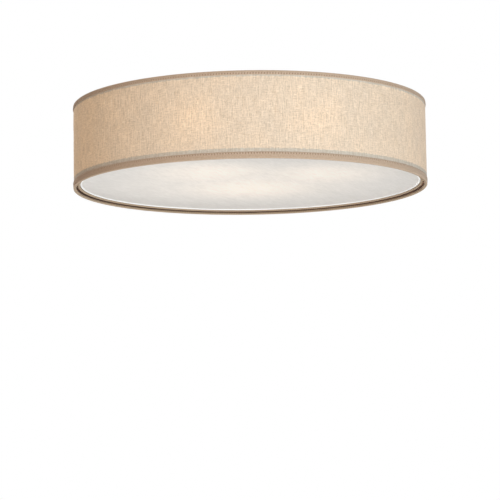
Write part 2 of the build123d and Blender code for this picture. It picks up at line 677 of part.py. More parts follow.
def bulb_glass(angle):
    """The blown envelope, with its stub cemented into the cap."""
    stub = CAP_INNER_RADIUS - NECK_STUB_CLEARANCE
    stub_start = CAP_END - NECK_STUB_LENGTH
    wall_end = CAP_END + GLASS_THICKNESS
    outside = bulb_outline(0) + section(0, stub, stub_start, CAP_END)
    inside = bulb_outline(GLASS_THICKNESS) - section(0, NECK_DIAMETER, CAP_END, wall_end)
    bore = section(0, stub - GLASS_THICKNESS, stub_start, wall_end)
    return on_lamp(angle, outside - inside - bore)


def bulb_cap(angle):
    """The screw cap, its thread drawn as rings at the thread's own pitch."""
    cap = section(CAP_INNER_RADIUS, CAP_ROOT_RADIUS, CAP_START, CAP_END)
    outside = section(CAP_INNER_RADIUS, CAP_DIAMETER, CAP_START, CAP_END)
    for turn in range(THREAD_TURNS):
        place = THREAD_START + turn * THREAD_PITCH
        cap += wire_section(CAP_DIAMETER / 2 - THREAD_ROUND, place, THREAD_ROUND) & outside
    return on_lamp(angle, cap)


def bulb_insulator(angle):
    """The glass cone that closes the cap around its tip."""
    outline = [
        (0, INSULATOR_START),
        (INSULATOR_TOP_DIAMETER / 2, INSULATOR_START),
        (CAP_INNER_RADIUS, CAP_START),
        (CAP_INNER_RADIUS, CAP_START + INSULATOR_START),
        (0, CAP_START + INSULATOR_START),
    ]
    return on_lamp(angle, outlined(outline))


def bulb_tip(angle):
    """The solder contact under the insulator."""
    tip = section(0, TIP_DIAMETER / 2, 0, INSULATOR_START)
    return on_lamp(angle, rounded(tip, (TIP_DIAMETER / 2, 0), TIP_CORNER))


# Wiring


def lead(lamp_angle, side, ring_radius, splice_angle, splice_z, place_in_bundle):
    """One lead, from the back of its lampholder up through the bushing and into its splice."""
    ring_angle = lamp_angle + side * LEAD_RING_ANGLE
    bundle_angle = radians(90 + 120 * place_in_bundle)
    across = SPLICE_BUNDLE_RADIUS * cos(bundle_angle)
    height = splice_z + SPLICE_BUNDLE_RADIUS * sin(bundle_angle)

    def from_socket(place):
        return lamp_plane(lamp_angle).from_local_coords(Vector(side * LEAD_SPACING / 2, 0, place))

    def in_splice(place):
        return Vector(polar(place, splice_angle, height)) + Vector(polar(across, splice_angle + 90))

    points = [
        from_socket(HOLDER_BACK + LEAD_SOCKET_DEPTH),
        from_socket(BRACKET_BACK - LEAD_STRAIGHT),
        polar(ring_radius, ring_angle, LAMP_Z),
        polar(ring_radius, ring_angle, splice_z),
        in_splice(LEAD_GATHER_PLACE),
        in_splice(SPLICE_NUT_PLACE + SPLICE_DEPTH),
    ]
    bends = [LEAD_EXIT_BEND, LEAD_LOWER_BEND, LEAD_UPPER_BEND, LEAD_GATHER_BEND]
    return tube_along(points, bends, LEAD_DIAMETER)


def leads(side, first_lamp, ring_radius, splice_angle, splice_z):
    """The three leads of one splice, counted round from the lamp nearest to it."""
    lamps = LAMP_ANGLES[first_lamp:] + LAMP_ANGLES[:first_lamp]
    return [lead(angle, side, ring_radius, splice_angle, splice_z, k) for k, angle in enumerate(lamps)]


def splice_nut(angle, z):
    """A twist-on connector, tapered from its mouth to its tip."""
    bore_radius = SPLICE_BUNDLE_RADIUS + LEAD_DIAMETER / 2 + SPLICE_NUT_CLEARANCE
    end = SPLICE_NUT_PLACE + SPLICE_NUT_LENGTH
    outline = [
        (0, SPLICE_NUT_PLACE),
        (SPLICE_NUT_MOUTH_DIAMETER / 2, SPLICE_NUT_PLACE),
        (SPLICE_NUT_TIP_DIAMETER / 2, end),
        (0, end),
    ]
    nut = turned(outlined(outline)) - bar(2 * bore_radius, SPLICE_NUT_PLACE, SPLICE_NUT_PLACE + SPLICE_DEPTH)
    return Plane(origin=(0, 0, z), x_dir=polar(1, angle + 90), z_dir=polar(1, angle)) * nut


def assembled():
    """Every piece by name: one solid, or a list of alike ones."""
    arms = [shade_arm(angle) for angle in ARM_ANGLES]
    brackets = [magnet_bracket(angle) for angle in MAGNET_ANGLES]
    top_trim = shade_tape(SHADE_TOP, -1, TOP_TAPE_OUTSIDE, TOP_TAPE_INSIDE)
    for arm in arms:
        top_trim -= arm
    bottom_trim = shade_tape(SHADE_BOTTOM, 1, BOTTOM_TAPE_OUTSIDE, BOTTOM_TAPE_INSIDE)
    for bracket in brackets:
        bottom_trim -= bracket
    pieces = {
        "mounting_crossbar": mounting_crossbar(),
        "ceiling_canopy": ceiling_canopy(),
        "insulation_pad": insulation_pad(),
        "wire_bushing": wire_bushing(),
        "canopy_screws": canopy_screws(),
        "canopy_washers": canopy_washers(),
        "canopy_nuts": canopy_nuts(),
        "ground_screws": ground_screws(),
        "ground_wire": ground_wire(),
        "bracket_rivets": bracket_rivets(),
        "holder_screws": holder_screws(),
        "live_leads": leads(1, 0, LIVE_RING_RADIUS, LIVE_SPLICE_ANGLE, -LIVE_SPLICE_DROP),
        "neutral_leads": leads(-1, 1, NEUTRAL_RING_RADIUS, NEUTRAL_SPLICE_ANGLE, -NEUTRAL_SPLICE_DROP),
        "live_splice_nut": splice_nut(LIVE_SPLICE_ANGLE, -LIVE_SPLICE_DROP),
        "neutral_splice_nut": splice_nut(NEUTRAL_SPLICE_ANGLE, -NEUTRAL_SPLICE_DROP),
        "shade_studs": shade_studs(),
        "shade_fabric": shade_fabric(),
        "shade_liner": shade_liner(),
        "top_ring": ring_wire(TOP_RING_Z),
        "bottom_ring": ring_wire(BOTTOM_RING_Z),
        "top_trim": top_trim,
        "bottom_trim": bottom_trim,
        "magnet_brackets": brackets,
        "diffuser_magnets": [diffuser_magnet(angle) for angle in MAGNET_ANGLES],
        "strike_plates": [strike_plate(angle) for angle in MAGNET_ANGLES],
        "diffuser_panel": diffuser_panel(),
        "diffuser_bead": diffuser_bead(),
        "diffuser_hoop": diffuser_hoop(),
        "diffuser_trim": diffuser_trim(),
    }
    for number, angle in enumerate(ARM_ANGLES, 1):
        pieces[f"shade_arm_{number}"] = arms[number - 1]
        pieces[f"shade_nut_{number}"] = shade_nut(angle)
    lamp_pieces = {
        "lampholder_bracket": lampholder_bracket,
        "lampholder_body": lampholder_body,
        "screw_shell": screw_shell,
        "centre_contact": centre_contact,
        "bulb_glass": bulb_glass,
        "bulb_cap": bulb_cap,
        "bulb_insulator": bulb_insulator,
        "bulb_tip": bulb_tip,
    }
    for number, angle in enumerate(LAMP_ANGLES, 1):
        for name, make in lamp_pieces.items():
            pieces[f"{name}_{number}"] = make(angle)
    return pieces


os.makedirs("parts", exist_ok=True)
for node, piece in assembled().items():
    alike = piece if isinstance(piece, list) else [piece]
    solids = [solid for one in alike for solid in one.solids()]
    export_step(Compound(children=solids) if len(solids) > 1 else solids[0], f"parts/{node}.step")
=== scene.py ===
"""Looks of a flush mount ceiling light: a linen drum shade with taped edges over an opal diffuser.

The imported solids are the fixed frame. Sections follow the light from the outlet box outwards. Sizes are in
millimetres where a name ends in _MM and in metres elsewhere, and +Z points up into the ceiling. A pattern too
fine to show, such as yarn or lathe rings, is drawn up to three times as coarse as the real one.
"""

import math

import bpy
import numpy as np
from mathutils import Matrix, Vector, noise


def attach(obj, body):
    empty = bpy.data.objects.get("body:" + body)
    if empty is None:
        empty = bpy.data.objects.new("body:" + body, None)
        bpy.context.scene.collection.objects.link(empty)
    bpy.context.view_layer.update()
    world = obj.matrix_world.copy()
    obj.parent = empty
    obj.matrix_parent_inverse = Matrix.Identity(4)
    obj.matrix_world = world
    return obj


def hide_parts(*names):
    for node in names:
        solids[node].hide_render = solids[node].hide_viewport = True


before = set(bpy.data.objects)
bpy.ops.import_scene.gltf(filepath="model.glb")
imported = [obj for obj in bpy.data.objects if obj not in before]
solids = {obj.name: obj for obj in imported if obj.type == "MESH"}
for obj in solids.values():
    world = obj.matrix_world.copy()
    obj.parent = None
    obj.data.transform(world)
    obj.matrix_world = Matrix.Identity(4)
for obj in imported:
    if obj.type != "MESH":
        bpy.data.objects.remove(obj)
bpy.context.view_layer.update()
MM = 0.001


# Crossbar, screws, washers and rivets: mild steel out of a barrel-plating line. Bright zinc leaves it bluish
# silver and a little cloudy, with faint rolling lines on the flat bar.

ZINC_ROUGHNESS = 0.33
ZINC_CLOUD_MM = 5.0
ROLLING_LINE_MM = 0.5
MATH = "ShaderNodeMath"
VECTOR_MATH = "ShaderNodeVectorMath"
# A Map Range node takes a value, the least and the most of its range, and what these become.
RANGE = "ShaderNodeMapRange"
MIX = "ShaderNodeMix"
# A Mix node's colour sockets by their places: what mixes, its two colours, and the output.
BY, FROM, TO, MIXED = 0, 6, 7, 2
COLOUR = {"data_type": "RGBA"}


def linear(code):
    """An sRGB hex colour as linear RGBA."""
    parts = [int(code[place : place + 2], 16) / 255 for place in (1, 3, 5)]
    return (*[part / 12.92 if part <= 0.04045 else ((part + 0.055) / 1.055) ** 2.4 for part in parts], 1.0)


def add(tree, kind, inputs=(), out=0, **settings):
    """Adds one node and gives back one of its outputs. An input is a value, or an output that feeds it."""
    node = tree.nodes.new(kind)
    for name, value in settings.items():
        setattr(node, name, value)
    for place, value in inputs.items() if isinstance(inputs, dict) else enumerate(inputs):
        if isinstance(value, bpy.types.NodeSocket):
            tree.links.new(value, node.inputs[place])
        else:
            node.inputs[place].default_value = value
    return node.outputs[out] if len(node.outputs) else None


def grain(tree, place, size_mm, detail=3.0):
    """A pattern of that grain size along x, y and z, from coordinates in metres."""
    scale = [1 / (size * MM) for size in size_mm]
    sized = add(tree, "ShaderNodeMapping", {"Vector": place, "Scale": scale})
    return add(tree, "ShaderNodeTexNoise", {"Vector": sized, "Scale": 1.0, "Detail": detail})


def finish(name, light, dark, grain_mm, roughness, depth_mm, metallic=0.0, detail=3.0):
    """A material whose colour, roughness and relief share one grain. Returns it with its tree and shader."""
    material = bpy.data.materials.new(name)
    material.use_nodes = True
    tree = material.node_tree
    shader = tree.nodes["Principled BSDF"]
    shader.inputs["Metallic"].default_value = metallic
    place = add(tree, "ShaderNodeTexCoord", out="Object")
    shades = grain(tree, place, grain_mm, detail)
    share = add(tree, RANGE, (shades, 0.3, 0.7))
    tint = add(tree, MIX, {BY: share, FROM: linear(dark), TO: linear(light)}, MIXED, **COLOUR)
    gloss = add(tree, RANGE, (shades, 0.0, 1.0, roughness + 0.08, roughness - 0.08))
    raised = add(tree, "ShaderNodeBump", {"Height": shades, "Distance": depth_mm * MM})
    for value, socket in ((tint, "Base Color"), (gloss, "Roughness"), (raised, "Normal")):
        tree.links.new(value, shader.inputs[socket])
    return material, tree, shader


def dress(material, *names):
    """Gives CAD nodes a finish."""
    for name in names:
        for slot in solids[name].material_slots:
            slot.material = material


def numbered(name):
    """The names of a node that each of the three lamps or arms has."""
    return [f"{name}_{number}" for number in (1, 2, 3)]


zinc, _, _ = finish(
    "bright_zinc_plate", "#c6cace", "#9ea3a9", (ZINC_CLOUD_MM,) * 3, ZINC_ROUGHNESS, 0.02, metallic=1.0
)
lines_mm = (12.0, ROLLING_LINE_MM, ROLLING_LINE_MM)
rolled_zinc, _, _ = finish(
    "rolled_zinc_plate", "#c3c8cc", "#a3a8ad", lines_mm, ZINC_ROUGHNESS, 0.03, metallic=1.0
)
dress(rolled_zinc, "mounting_crossbar")
dress(zinc, "canopy_washers", "bracket_rivets", "holder_screws", "strike_plates")


# Studs and canopy screws: zinc-plated steel rod with rolled threads of 32 to the inch. The screws hang from
# the crossbar and the studs from the pan, and the thread shows as fine rings.

THREAD_PITCH_MM = 0.794
THREAD_DEPTH_MM = 0.3
WAVE = "ShaderNodeTexWave"


def wave_scale(pitch_mm):
    """The wave texture's scale for one band at each pitch."""
    return math.tau / (20 * pitch_mm * MM)


threaded, tree, shader = finish(
    "zinc_plated_thread", "#bcc0c4", "#8f9499", (2.0, 2.0, 2.0), 0.36, 0.02, metallic=1.0
)
place = add(tree, "ShaderNodeTexCoord", out="Object")
rings = add(
    tree, WAVE, {"Vector": place, "Scale": wave_scale(THREAD_PITCH_MM)}, "Fac", bands_direction="Z"
)
raised = add(tree, "ShaderNodeBump", {"Height": rings, "Distance": THREAD_DEPTH_MM * MM})
tree.links.new(raised, shader.inputs["Normal"])
dress(threaded, "shade_studs", "canopy_screws")


# Ceiling canopy, lampholder brackets and shade arms: deep-drawn and folded sheet steel under white powder
# coat. The cured powder flows out into a fine orange peel, satin rather than glossy.

ORANGE_PEEL_MM = 1.3
powder, _, shader = finish(
    "white_powder_coat", "#f1efe9", "#e6e3dc", (ORANGE_PEEL_MM,) * 3, 0.42, 0.05, detail=2.0
)
shader.inputs["Coat Weight"].default_value = 0.15
shader.inputs["Coat Roughness"].default_value = 0.3
dress(powder, "ceiling_canopy", *numbered("lampholder_bracket"), *numbered("shade_arm"))


# Cap nuts and knurled nuts: turned brass under brushed nickel. The lathe leaves fine rings round each one,
# warm grey beside the zinc.

TURNING_MM = 0.35
nickel, _, _ = finish(
    "brushed_nickel", "#c9c2b6", "#a8a195", (3.0, 3.0, TURNING_MM), 0.28, 0.02, metallic=1.0
)
dress(nickel, "canopy_nuts", *numbered("shade_nut"))


# Insulation pad: a ring cut from pale glass wool, laid in the canopy above the lamps. It lies crowned between
# its cut edges, with loose strands on top, and keeps clear of the stud heads through its own holes.

PAD_SHRINK_MM = 0.9
PAD_VOXEL_MM = 2.2
PAD_LUMP_MM = 14.0
PAD_LUMP_HEIGHT_MM = 0.8
PAD_WELD_MM = 0.05
PAD_SOFTENING = 2
STRANDS_PER_M2 = 52000.0
STRAND_LENGTH_MM = 9.0
STRAND_THICKNESS_MM = 0.16
STRAND_LEAN = 0.35
STRAND_SEED = 4
INSTANCE = "GeometryNodeInstanceOnPoints"
CIRCLE = "GeometryNodeCurvePrimitiveCircle"
COMBINE = "ShaderNodeCombineXYZ"


def placed(name, mesh, smooth=True):
    """An object at the origin for a finished mesh."""
    if smooth:
        mesh.shade_smooth()
    piece = bpy.data.objects.new(name, mesh)
    bpy.context.scene.collection.objects.link(piece)
    return piece


def applied(piece):
    """The piece with its modifiers made part of a plain mesh."""
    mesh = bpy.data.meshes.new_from_object(piece.evaluated_get(bpy.context.evaluated_depsgraph_get()))
    name = piece.name
    bpy.data.objects.remove(piece)
    return placed(name, mesh)


def new_tree(name, **inputs):
    """An empty geometry tree with those named inputs. Returns it with the sockets of its input node."""
    tree = bpy.data.node_groups.new(name, "GeometryNodeTree")
    tree.interface.new_socket("Geometry", in_out="INPUT", socket_type="NodeSocketGeometry")
    for label, kind in inputs.items():
        tree.interface.new_socket(label, in_out="INPUT", socket_type="NodeSocket" + kind)
    tree.interface.new_socket("Geometry", in_out="OUTPUT", socket_type="NodeSocketGeometry")
    return tree, tree.nodes.new("NodeGroupInput").outputs


def end_tree(tree, geometry, material):
    """Ends a geometry tree in plain faces with their material."""
    real = add(tree, "GeometryNodeRealizeInstances", (geometry,))
    coloured = add(tree, "GeometryNodeSetMaterial", {"Geometry": real, "Material": material})
    add(tree, "NodeGroupOutput", (coloured,))


def made_by(tree, name, values, base=None):
    """The plain mesh that a geometry tree makes with those values of its named inputs."""
    carrier = placed(name, base or bpy.data.meshes.new(name))
    modifier = carrier.modifiers.new("made", "NODES")
    modifier.node_group = tree
    for item in tree.interface.items_tree:
        if item.in_out == "INPUT" and item.name in values:
            modifier[item.identifier] = values[item.name]
    return applied(carrier)


wool, _, shader = finish("glass_wool", "#f1ead0", "#cfc095", (3.0, 3.0, 1.2), 0.9, 0.9, detail=6.0)
shader.inputs["Sheen Weight"].default_value = 0.3

pad_mesh = solids["insulation_pad"].data.copy()
pad_mesh.materials.clear()
pad = placed("glass_wool_pad", pad_mesh)
weld = pad.modifiers.new("weld", "WELD")
weld.merge_threshold = PAD_WELD_MM * MM
shrink = pad.modifiers.new("shrink", "DISPLACE")
shrink.strength = -PAD_SHRINK_MM * MM
shrink.mid_level = 0.0
voxels = pad.modifiers.new("voxels", "REMESH")
voxels.mode = "VOXEL"
voxels.voxel_size = PAD_VOXEL_MM * MM
pad = applied(pad)
normals = [vertex.normal.copy() for vertex in pad.data.vertices]
for vertex, normal in zip(pad.data.vertices, normals):
    lump = noise.noise(vertex.co / (PAD_LUMP_MM * MM))
    tuft = noise.noise(vertex.co / (0.3 * PAD_LUMP_MM * MM))
    vertex.co += normal * (lump + 0.5 * tuft - 0.5) * PAD_LUMP_HEIGHT_MM * MM
soften = pad.modifiers.new("soften", "SMOOTH")
soften.iterations = PAD_SOFTENING
pad = applied(pad)
pad.data.materials.clear()
pad.data.materials.append(wool)
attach(pad, "canopy")
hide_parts("insulation_pad")

tree, given = new_tree(
    "loose_strands", Density="Float", Length="Float", Thickness="Float", Seed="Int", Material="Material"
)
spread = {"Mesh": given["Geometry"], "Density": given["Density"], "Seed": given["Seed"]}
spots = add(tree, "GeometryNodeDistributePointsOnFaces", spread, "Points")
upright = spots.node.outputs["Rotation"]
half = add(tree, MATH, (given["Length"], 0.5), operation="MULTIPLY")
back = add(tree, COMBINE, (add(tree, MATH, (half, -1.0), operation="MULTIPLY"),))
ahead = add(tree, COMBINE, (half,))
bow = add(tree, COMBINE, (0.0, add(tree, MATH, (half, 0.5), operation="MULTIPLY")))
strand = add(
    tree, "GeometryNodeCurveQuadraticBezier", {"Resolution": 5, "Start": back, "Middle": bow, "End": ahead}
)
thin = add(tree, MATH, (given["Thickness"], 0.5), operation="MULTIPLY")
outline = add(tree, CIRCLE, {"Resolution": 3, "Radius": thin})
body = add(
    tree, "GeometryNodeCurveToMesh", {"Curve": strand, "Profile Curve": outline, "Fill Caps": True}
)
# Random Value's places 0 and 1 are the least and the most of a vector, and 2 and 3 those of a number.
turns = {0: (0.0, 0.0, 0.0), 1: (STRAND_LEAN, STRAND_LEAN, math.tau), "Seed": given["Seed"]}
turn = add(tree, "FunctionNodeRandomValue", turns, data_type="FLOAT_VECTOR")
lie = add(tree, "FunctionNodeRotateRotation", (upright, turn), rotation_space="LOCAL")
size = add(tree, "FunctionNodeRandomValue", {2: 0.4, 3: 1.3, "Seed": given["Seed"]}, 1, data_type="FLOAT")
strands = add(tree, INSTANCE, {"Points": spots, "Instance": body, "Rotation": lie, "Scale": size})
end_tree(tree, strands, given["Material"])
wool_values = {
    "Density": STRANDS_PER_M2,
    "Length": STRAND_LENGTH_MM * MM,
    "Thickness": STRAND_THICKNESS_MM * MM,
    "Seed": STRAND_SEED,
    "Material": wool,
}
loose = made_by(tree, "glass_wool_strands", wool_values, pad.data.copy())
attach(loose, "canopy")


# Bushing: a snap-in sleeve of black nylon in the canopy's wire hole, which keeps the leads off the cut steel.
# It is injection moulded with a fine matt grain.

nylon, _, _ = finish("moulded_nylon", "#2b2b2f", "#1f1f23", (0.6, 0.6, 0.6), 0.5, 0.03)
dress(nylon, "wire_bushing")


# Ground wire and screws: bare copper drawn through dies, with faint lines along it and a first brown bloom,
# held by screws dyed green over zinc.

copper, _, _ = finish("drawn_copper", "#d98a63", "#a9603f", (1.2, 6.0, 1.2), 0.3, 0.02, metallic=1.0)
green, _, _ = finish("green_dyed_zinc", "#3d8f5a", "#2a6a42", (2.5, 2.5, 2.5), 0.36, 0.02, metallic=0.7)
dress(copper, "ground_wire")
dress(green, "ground_screws")


# Leads and splices: stranded wire in extruded PVC, black for live and white for neutral, twisted under
# moulded polypropylene caps. The caps have grip ribs round them, which the plain solids leave out.

RIB_COUNT = 16
RIB_WIDTH_MM = 0.9
RIB_SINK_MM = 0.15
# Each splice's azimuth in degrees and its height in millimetres.
LIVE_SPLICE = (129.0, -9.0)
NEUTRAL_SPLICE = (-51.0, -15.0)
SPLICE_START_MM = 26.0
SPLICE_LENGTH_MM = 24.0
SPLICE_MOUTH_MM = 6.5
SPLICE_TIP_MM = 4.0

black_pvc, _, _ = finish("black_pvc_insulation", "#2a2a2e", "#1b1b1e", (0.9, 0.9, 5.0), 0.42, 0.03)
white_pvc, _, _ = finish("white_pvc_insulation", "#f2f1ec", "#dfddd5", (0.9, 0.9, 5.0), 0.42, 0.03)
orange, _, _ = finish("orange_polypropylene", "#e0763a", "#c95f26", (1.5, 1.5, 1.5), 0.45, 0.04)
yellow, _, _ = finish("yellow_polypropylene", "#ecd04c", "#d8b637", (1.5, 1.5, 1.5), 0.45, 0.04)
dress(black_pvc, "live_leads")
dress(white_pvc, "neutral_leads")
dress(orange, "live_splice_nut")
dress(yellow, "neutral_splice_nut")

tree, given = new_tree(
    "grip_ribs", Count="Int", Mouth="Float", Tip="Float", Length="Float", Width="Float", Material="Material"
)
mouth = add(tree, COMBINE, (given["Mouth"],))
tip = add(tree, COMBINE, (given["Tip"], 0.0, given["Length"]))
edge = add(tree, "GeometryNodeCurvePrimitiveLine", {"Start": mouth, "End": tip})
thin = add(tree, MATH, (given["Width"], 0.5), operation="MULTIPLY")
outline = add(tree, CIRCLE, {"Resolution": 6, "Radius": thin})
rib = add(tree, "GeometryNodeCurveToMesh", {"Curve": edge, "Profile Curve": outline, "Fill Caps": True})
ring = add(tree, "GeometryNodePoints", {"Count": given["Count"]})
number = add(tree, "GeometryNodeInputIndex")
share = add(tree, MATH, (number, given["Count"]), operation="DIVIDE")
around = add(tree, COMBINE, (0.0, 0.0, add(tree, MATH, (share, math.tau), operation="MULTIPLY")))
ribs = add(tree, INSTANCE, {"Points": ring, "Instance": rib, "Rotation": around})
end_tree(tree, ribs, given["Material"])
splices = (
    ("live_splice_ribs", LIVE_SPLICE, orange, "orange_cap"),
    ("neutral_splice_ribs", NEUTRAL_SPLICE, yellow, "yellow_cap"),
)
for name, (azimuth, height_mm), colour, slot in splices:
    rib_values = {
        "Count": RIB_COUNT,
        "Mouth": (SPLICE_MOUTH_MM - RIB_SINK_MM) * MM,
        "Tip": (SPLICE_TIP_MM - RIB_SINK_MM) * MM,
        "Length": SPLICE_LENGTH_MM * MM,
        "Width": RIB_WIDTH_MM * MM,
        "Material": colour,
    }
    grips = made_by(tree, name, rib_values)
    outwards = Matrix.Rotation(math.radians(azimuth), 4, "Z")
    lying = Matrix.Rotation(math.radians(90), 4, "Y")
    along = Matrix.Translation((SPLICE_START_MM * MM, 0, 0))
    grips.data.transform(Matrix.Translation((0, 0, height_mm * MM)) @ outwards @ along @ lying)
    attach(grips, "canopy")


# Lampholders: glazed porcelain cups around drawn brass screw shells, with a brass tongue on the floor. The
# glaze is glassy over a body with a few specks.

porcelain, _, shader = finish("glazed_porcelain", "#f3f0e8", "#e7e2d6", (4.0, 4.0, 4.0), 0.16, 0.01)
shader.inputs["Coat Weight"].default_value = 0.6
shader.inputs["Coat Roughness"].default_value = 0.06
brass, _, _ = finish("drawn_brass", "#d3ad5e", "#a98640", (3.0, 3.0, 0.6), 0.26, 0.02, metallic=1.0)
dress(porcelain, *numbered("lampholder_body"))
dress(brass, *numbered("screw_shell"), *numbered("centre_contact"))


# Bulbs: blown glass frosted inside, lit warm white, in a rolled aluminium cap closed by black glass and a
# solder tip.

BULB_GLOW = 5.0
frosted, _, shader = finish("frosted_bulb_glass", "#fbf7ee", "#f1e9db", (9.0, 9.0, 9.0), 0.3, 0.01)
shader.inputs["Emission Color"].default_value = linear("#ffe2b8")
shader.inputs["Emission Strength"].default_value = BULB_GLOW
aluminium, _, _ = finish("rolled_aluminium", "#d2d3d6", "#b3b5b9", (0.8, 0.8, 0.8), 0.34, 0.02, metallic=1.0)
black_glass, _, _ = finish("black_vitrite", "#1d1d22", "#101014", (3.0, 3.0, 3.0), 0.12, 0.01)
solder, _, _ = finish("dull_solder", "#b9b9b5", "#97978f", (1.4, 1.4, 1.4), 0.48, 0.08, metallic=1.0)
dress(frosted, *numbered("bulb_glass"))
dress(aluminium, *numbered("bulb_cap"))
dress(black_glass, *numbered("bulb_insulator"))
dress(solder, *numbered("bulb_tip"))


# Shade wires, magnet brackets and liner: coated spring wire rings, small brackets painted brown so that they
# don't show beside the tape, and the warm white styrene that the linen is laminated to.

styrene, _, _ = finish("laminated_styrene", "#f4ead9", "#eadfca", (0.9, 0.9, 22.0), 0.34, 0.02)
brown, _, _ = finish("brown_enamel", "#5f4636", "#4c3729", (1.6, 1.6, 1.6), 0.5, 0.03)
dress(styrene, "shade_liner")
dress(powder, "top_ring", "bottom_ring", "diffuser_hoop")
dress(brown, "magnet_brackets")


# Linen cover: oatmeal linen wound once round the shade and glued over its own end at the back. Thick and thin
# yarn makes upright slubs and short crosswise ones. The light of the lamps behind is painted into the linen's
# emission as a warm glow, stronger at thin places and in broad patches on the wall. Where the tape inside
# would block it, the painted glow is left out, so an unlit strip of plain linen is left beside each tape.

OUTER_RADIUS_MM = 254.0
CLOTH_RADIUS_MM = 253.5
CLOTH_THICKNESS_MM = 0.35
CLOTH_LOW_MM = -124.9
CLOTH_HIGH_MM = -6.5
SEAM_ANGLE = 90.0
SEAM_OVERLAP_MM = 12.0
SEAM_STEP_MM = 4.0
CLOTH_COLUMNS = 900
CLOTH_ROWS = 24
YARN_PITCH_MM = 0.8
# Grain along the cloth's length, up its width, and through it.
UPRIGHT_YARN_MM = (1.6, 17.0, 1.0)
FINE_YARN_MM = (0.8, 5.0, 1.0)
CROSSWISE_YARN_MM = (9.0, 1.2, 1.0)
MOTTLE_MM = (1.9, 1.9, 1.0)
CLOUD_MM = (30.0, 40.0, 1.0)
SPECK_MM = (1.5, 2.2, 1.0)
RAGGED_MM = (4.0, 400.0, 1.0)
WEAVE_DEPTH_MM = 0.25
UNLIT_BELOW_MM = -112.0
UNLIT_ABOVE_MM = -13.6
UNLIT_REACH_MM = 2.4
UNLIT_EDGE_MM = 0.9
LAMP_DROP_MM = 70.0
# Azimuths in degrees round which the glow painted on the linen is brightest.
GLOW_AZIMUTHS = [turn + start for turn in (0.0, 120.0, 240.0) for start in (252.5, 291.0)]
GLOW_REACH_MM = 62.0
LINEN_GLOW = 0.205
SMOOTH = {"interpolation_type": "SMOOTHSTEP"}
UPRIGHT_SLUBS_PER_M2 = 5200.0
CROSSWISE_SLUBS_PER_M2 = 7600.0
UPRIGHT_SLUB_MM = (0.5, 0.3, 16.0)
CROSSWISE_SLUB_MM = (7.0, 0.3, 0.5)
SLUB_MARGIN_MM = 8.0


def nearness(tree, place, centres, reach_mm):
    """1 at the nearest of some points, and 0 at the reach from it."""
    nearest = None
    for centre in centres:
        away = add(tree, VECTOR_MATH, (place, centre), "Value", operation="DISTANCE")
        nearest = away if nearest is None else add(tree, MATH, (nearest, away), operation="MINIMUM")
    return add(tree, RANGE, (nearest, 0.0, reach_mm * MM, 1.0, 0.0), **SMOOTH)


def within(tree, value, low_mm, high_mm, edge_mm):
    """1 between two lengths and 0 outside them, with soft edges."""
    after = (value, low_mm * MM, (low_mm + edge_mm) * MM)
    before = (value, (high_mm - edge_mm) * MM, high_mm * MM, 1.0, 0.0)
    rise = add(tree, RANGE, after, **SMOOTH)
    fall = add(tree, RANGE, before, **SMOOTH)
    return add(tree, MATH, (rise, fall), operation="MULTIPLY")


def weighted(tree, *parts):
    """The sum of patterns, each times its weight."""
    total = 0.0
    for part, weight in parts:
        total = add(tree, MATH, (part, weight, total), operation="MULTIPLY_ADD")
    return total


def quads(columns, rows, closed=False):
    """Faces of a grid of points, column by column."""
    faces = []
    for column in range(columns):
        here = column * (rows + 1)
        there = ((column + 1) % columns if closed else column + 1) * (rows + 1)
        faces += [(here + row, there + row, there + row + 1, here + row + 1) for row in range(rows)]
    return faces


length_mm = math.tau * CLOTH_RADIUS_MM + SEAM_OVERLAP_MM
along = np.linspace(0.0, length_mm, CLOTH_COLUMNS + 1)
up = np.linspace(CLOTH_LOW_MM, CLOTH_HIGH_MM, CLOTH_ROWS + 1)
turn = math.radians(SEAM_ANGLE) + along / CLOTH_RADIUS_MM
step = np.clip((along - (length_mm - SEAM_OVERLAP_MM - SEAM_STEP_MM)) / SEAM_STEP_MM, 0.0, 1.0)
radius = CLOTH_RADIUS_MM + CLOTH_THICKNESS_MM * step
flat = np.column_stack([radius * np.cos(turn), radius * np.sin(turn)])
mesh = bpy.data.meshes.new("linen_cover")
corners = [(x * MM, y * MM, z * MM) for x, y in flat for z in up]
mesh.from_pydata(corners, [], quads(CLOTH_COLUMNS, CLOTH_ROWS))
lengths = mesh.uv_layers.new(name="cloth")
for loop in mesh.loops:
    column, row = divmod(loop.vertex_index, CLOTH_ROWS + 1)
    lengths.data[loop.index].uv = (along[column] * MM, (up[row] - CLOTH_LOW_MM) * MM)
cover = placed("linen_cover", mesh)
outer_face = mesh.copy()
wall = cover.modifiers.new("cloth", "SOLIDIFY")
wall.thickness = CLOTH_THICKNESS_MM * MM
wall.offset = -1.0

linen = bpy.data.materials.new("slubbed_linen")
linen.use_nodes = True
tree = linen.node_tree
shader = tree.nodes["Principled BSDF"]
shader.inputs["Roughness"].default_value = 0.88
shader.inputs["Sheen Weight"].default_value = 0.1
shader.inputs["Sheen Roughness"].default_value = 0.5
cloth = add(tree, "ShaderNodeUVMap", uv_map="cloth")
place = add(tree, "ShaderNodeTexCoord", out="Object")
upright = grain(tree, cloth, UPRIGHT_YARN_MM, 4.0)
fine = grain(tree, cloth, FINE_YARN_MM, 2.0)
crosswise = grain(tree, cloth, CROSSWISE_YARN_MM, 3.0)
mottle = grain(tree, cloth, MOTTLE_MM, 3.0)
cloudy = grain(tree, cloth, CLOUD_MM, 2.0)
speck = grain(tree, cloth, SPECK_MM, 1.0)
yarn = weighted(tree, (upright, 0.34), (fine, 0.22), (crosswise, 0.22), (mottle, 0.22))
share = add(tree, RANGE, (yarn, 0.4, 0.6))
tint = add(tree, MIX, {BY: share, FROM: linear("#c1b5a3"), TO: linear("#dcd5c8")}, MIXED, **COLOUR)
dark_speck = add(tree, RANGE, (speck, 0.68, 0.78, 0.0, 0.5))
tint = add(tree, MIX, {BY: dark_speck, FROM: tint, TO: linear("#8a7660")}, MIXED, **COLOUR)
light_slub = add(tree, RANGE, (crosswise, 0.6, 0.72, 0.0, 0.5))
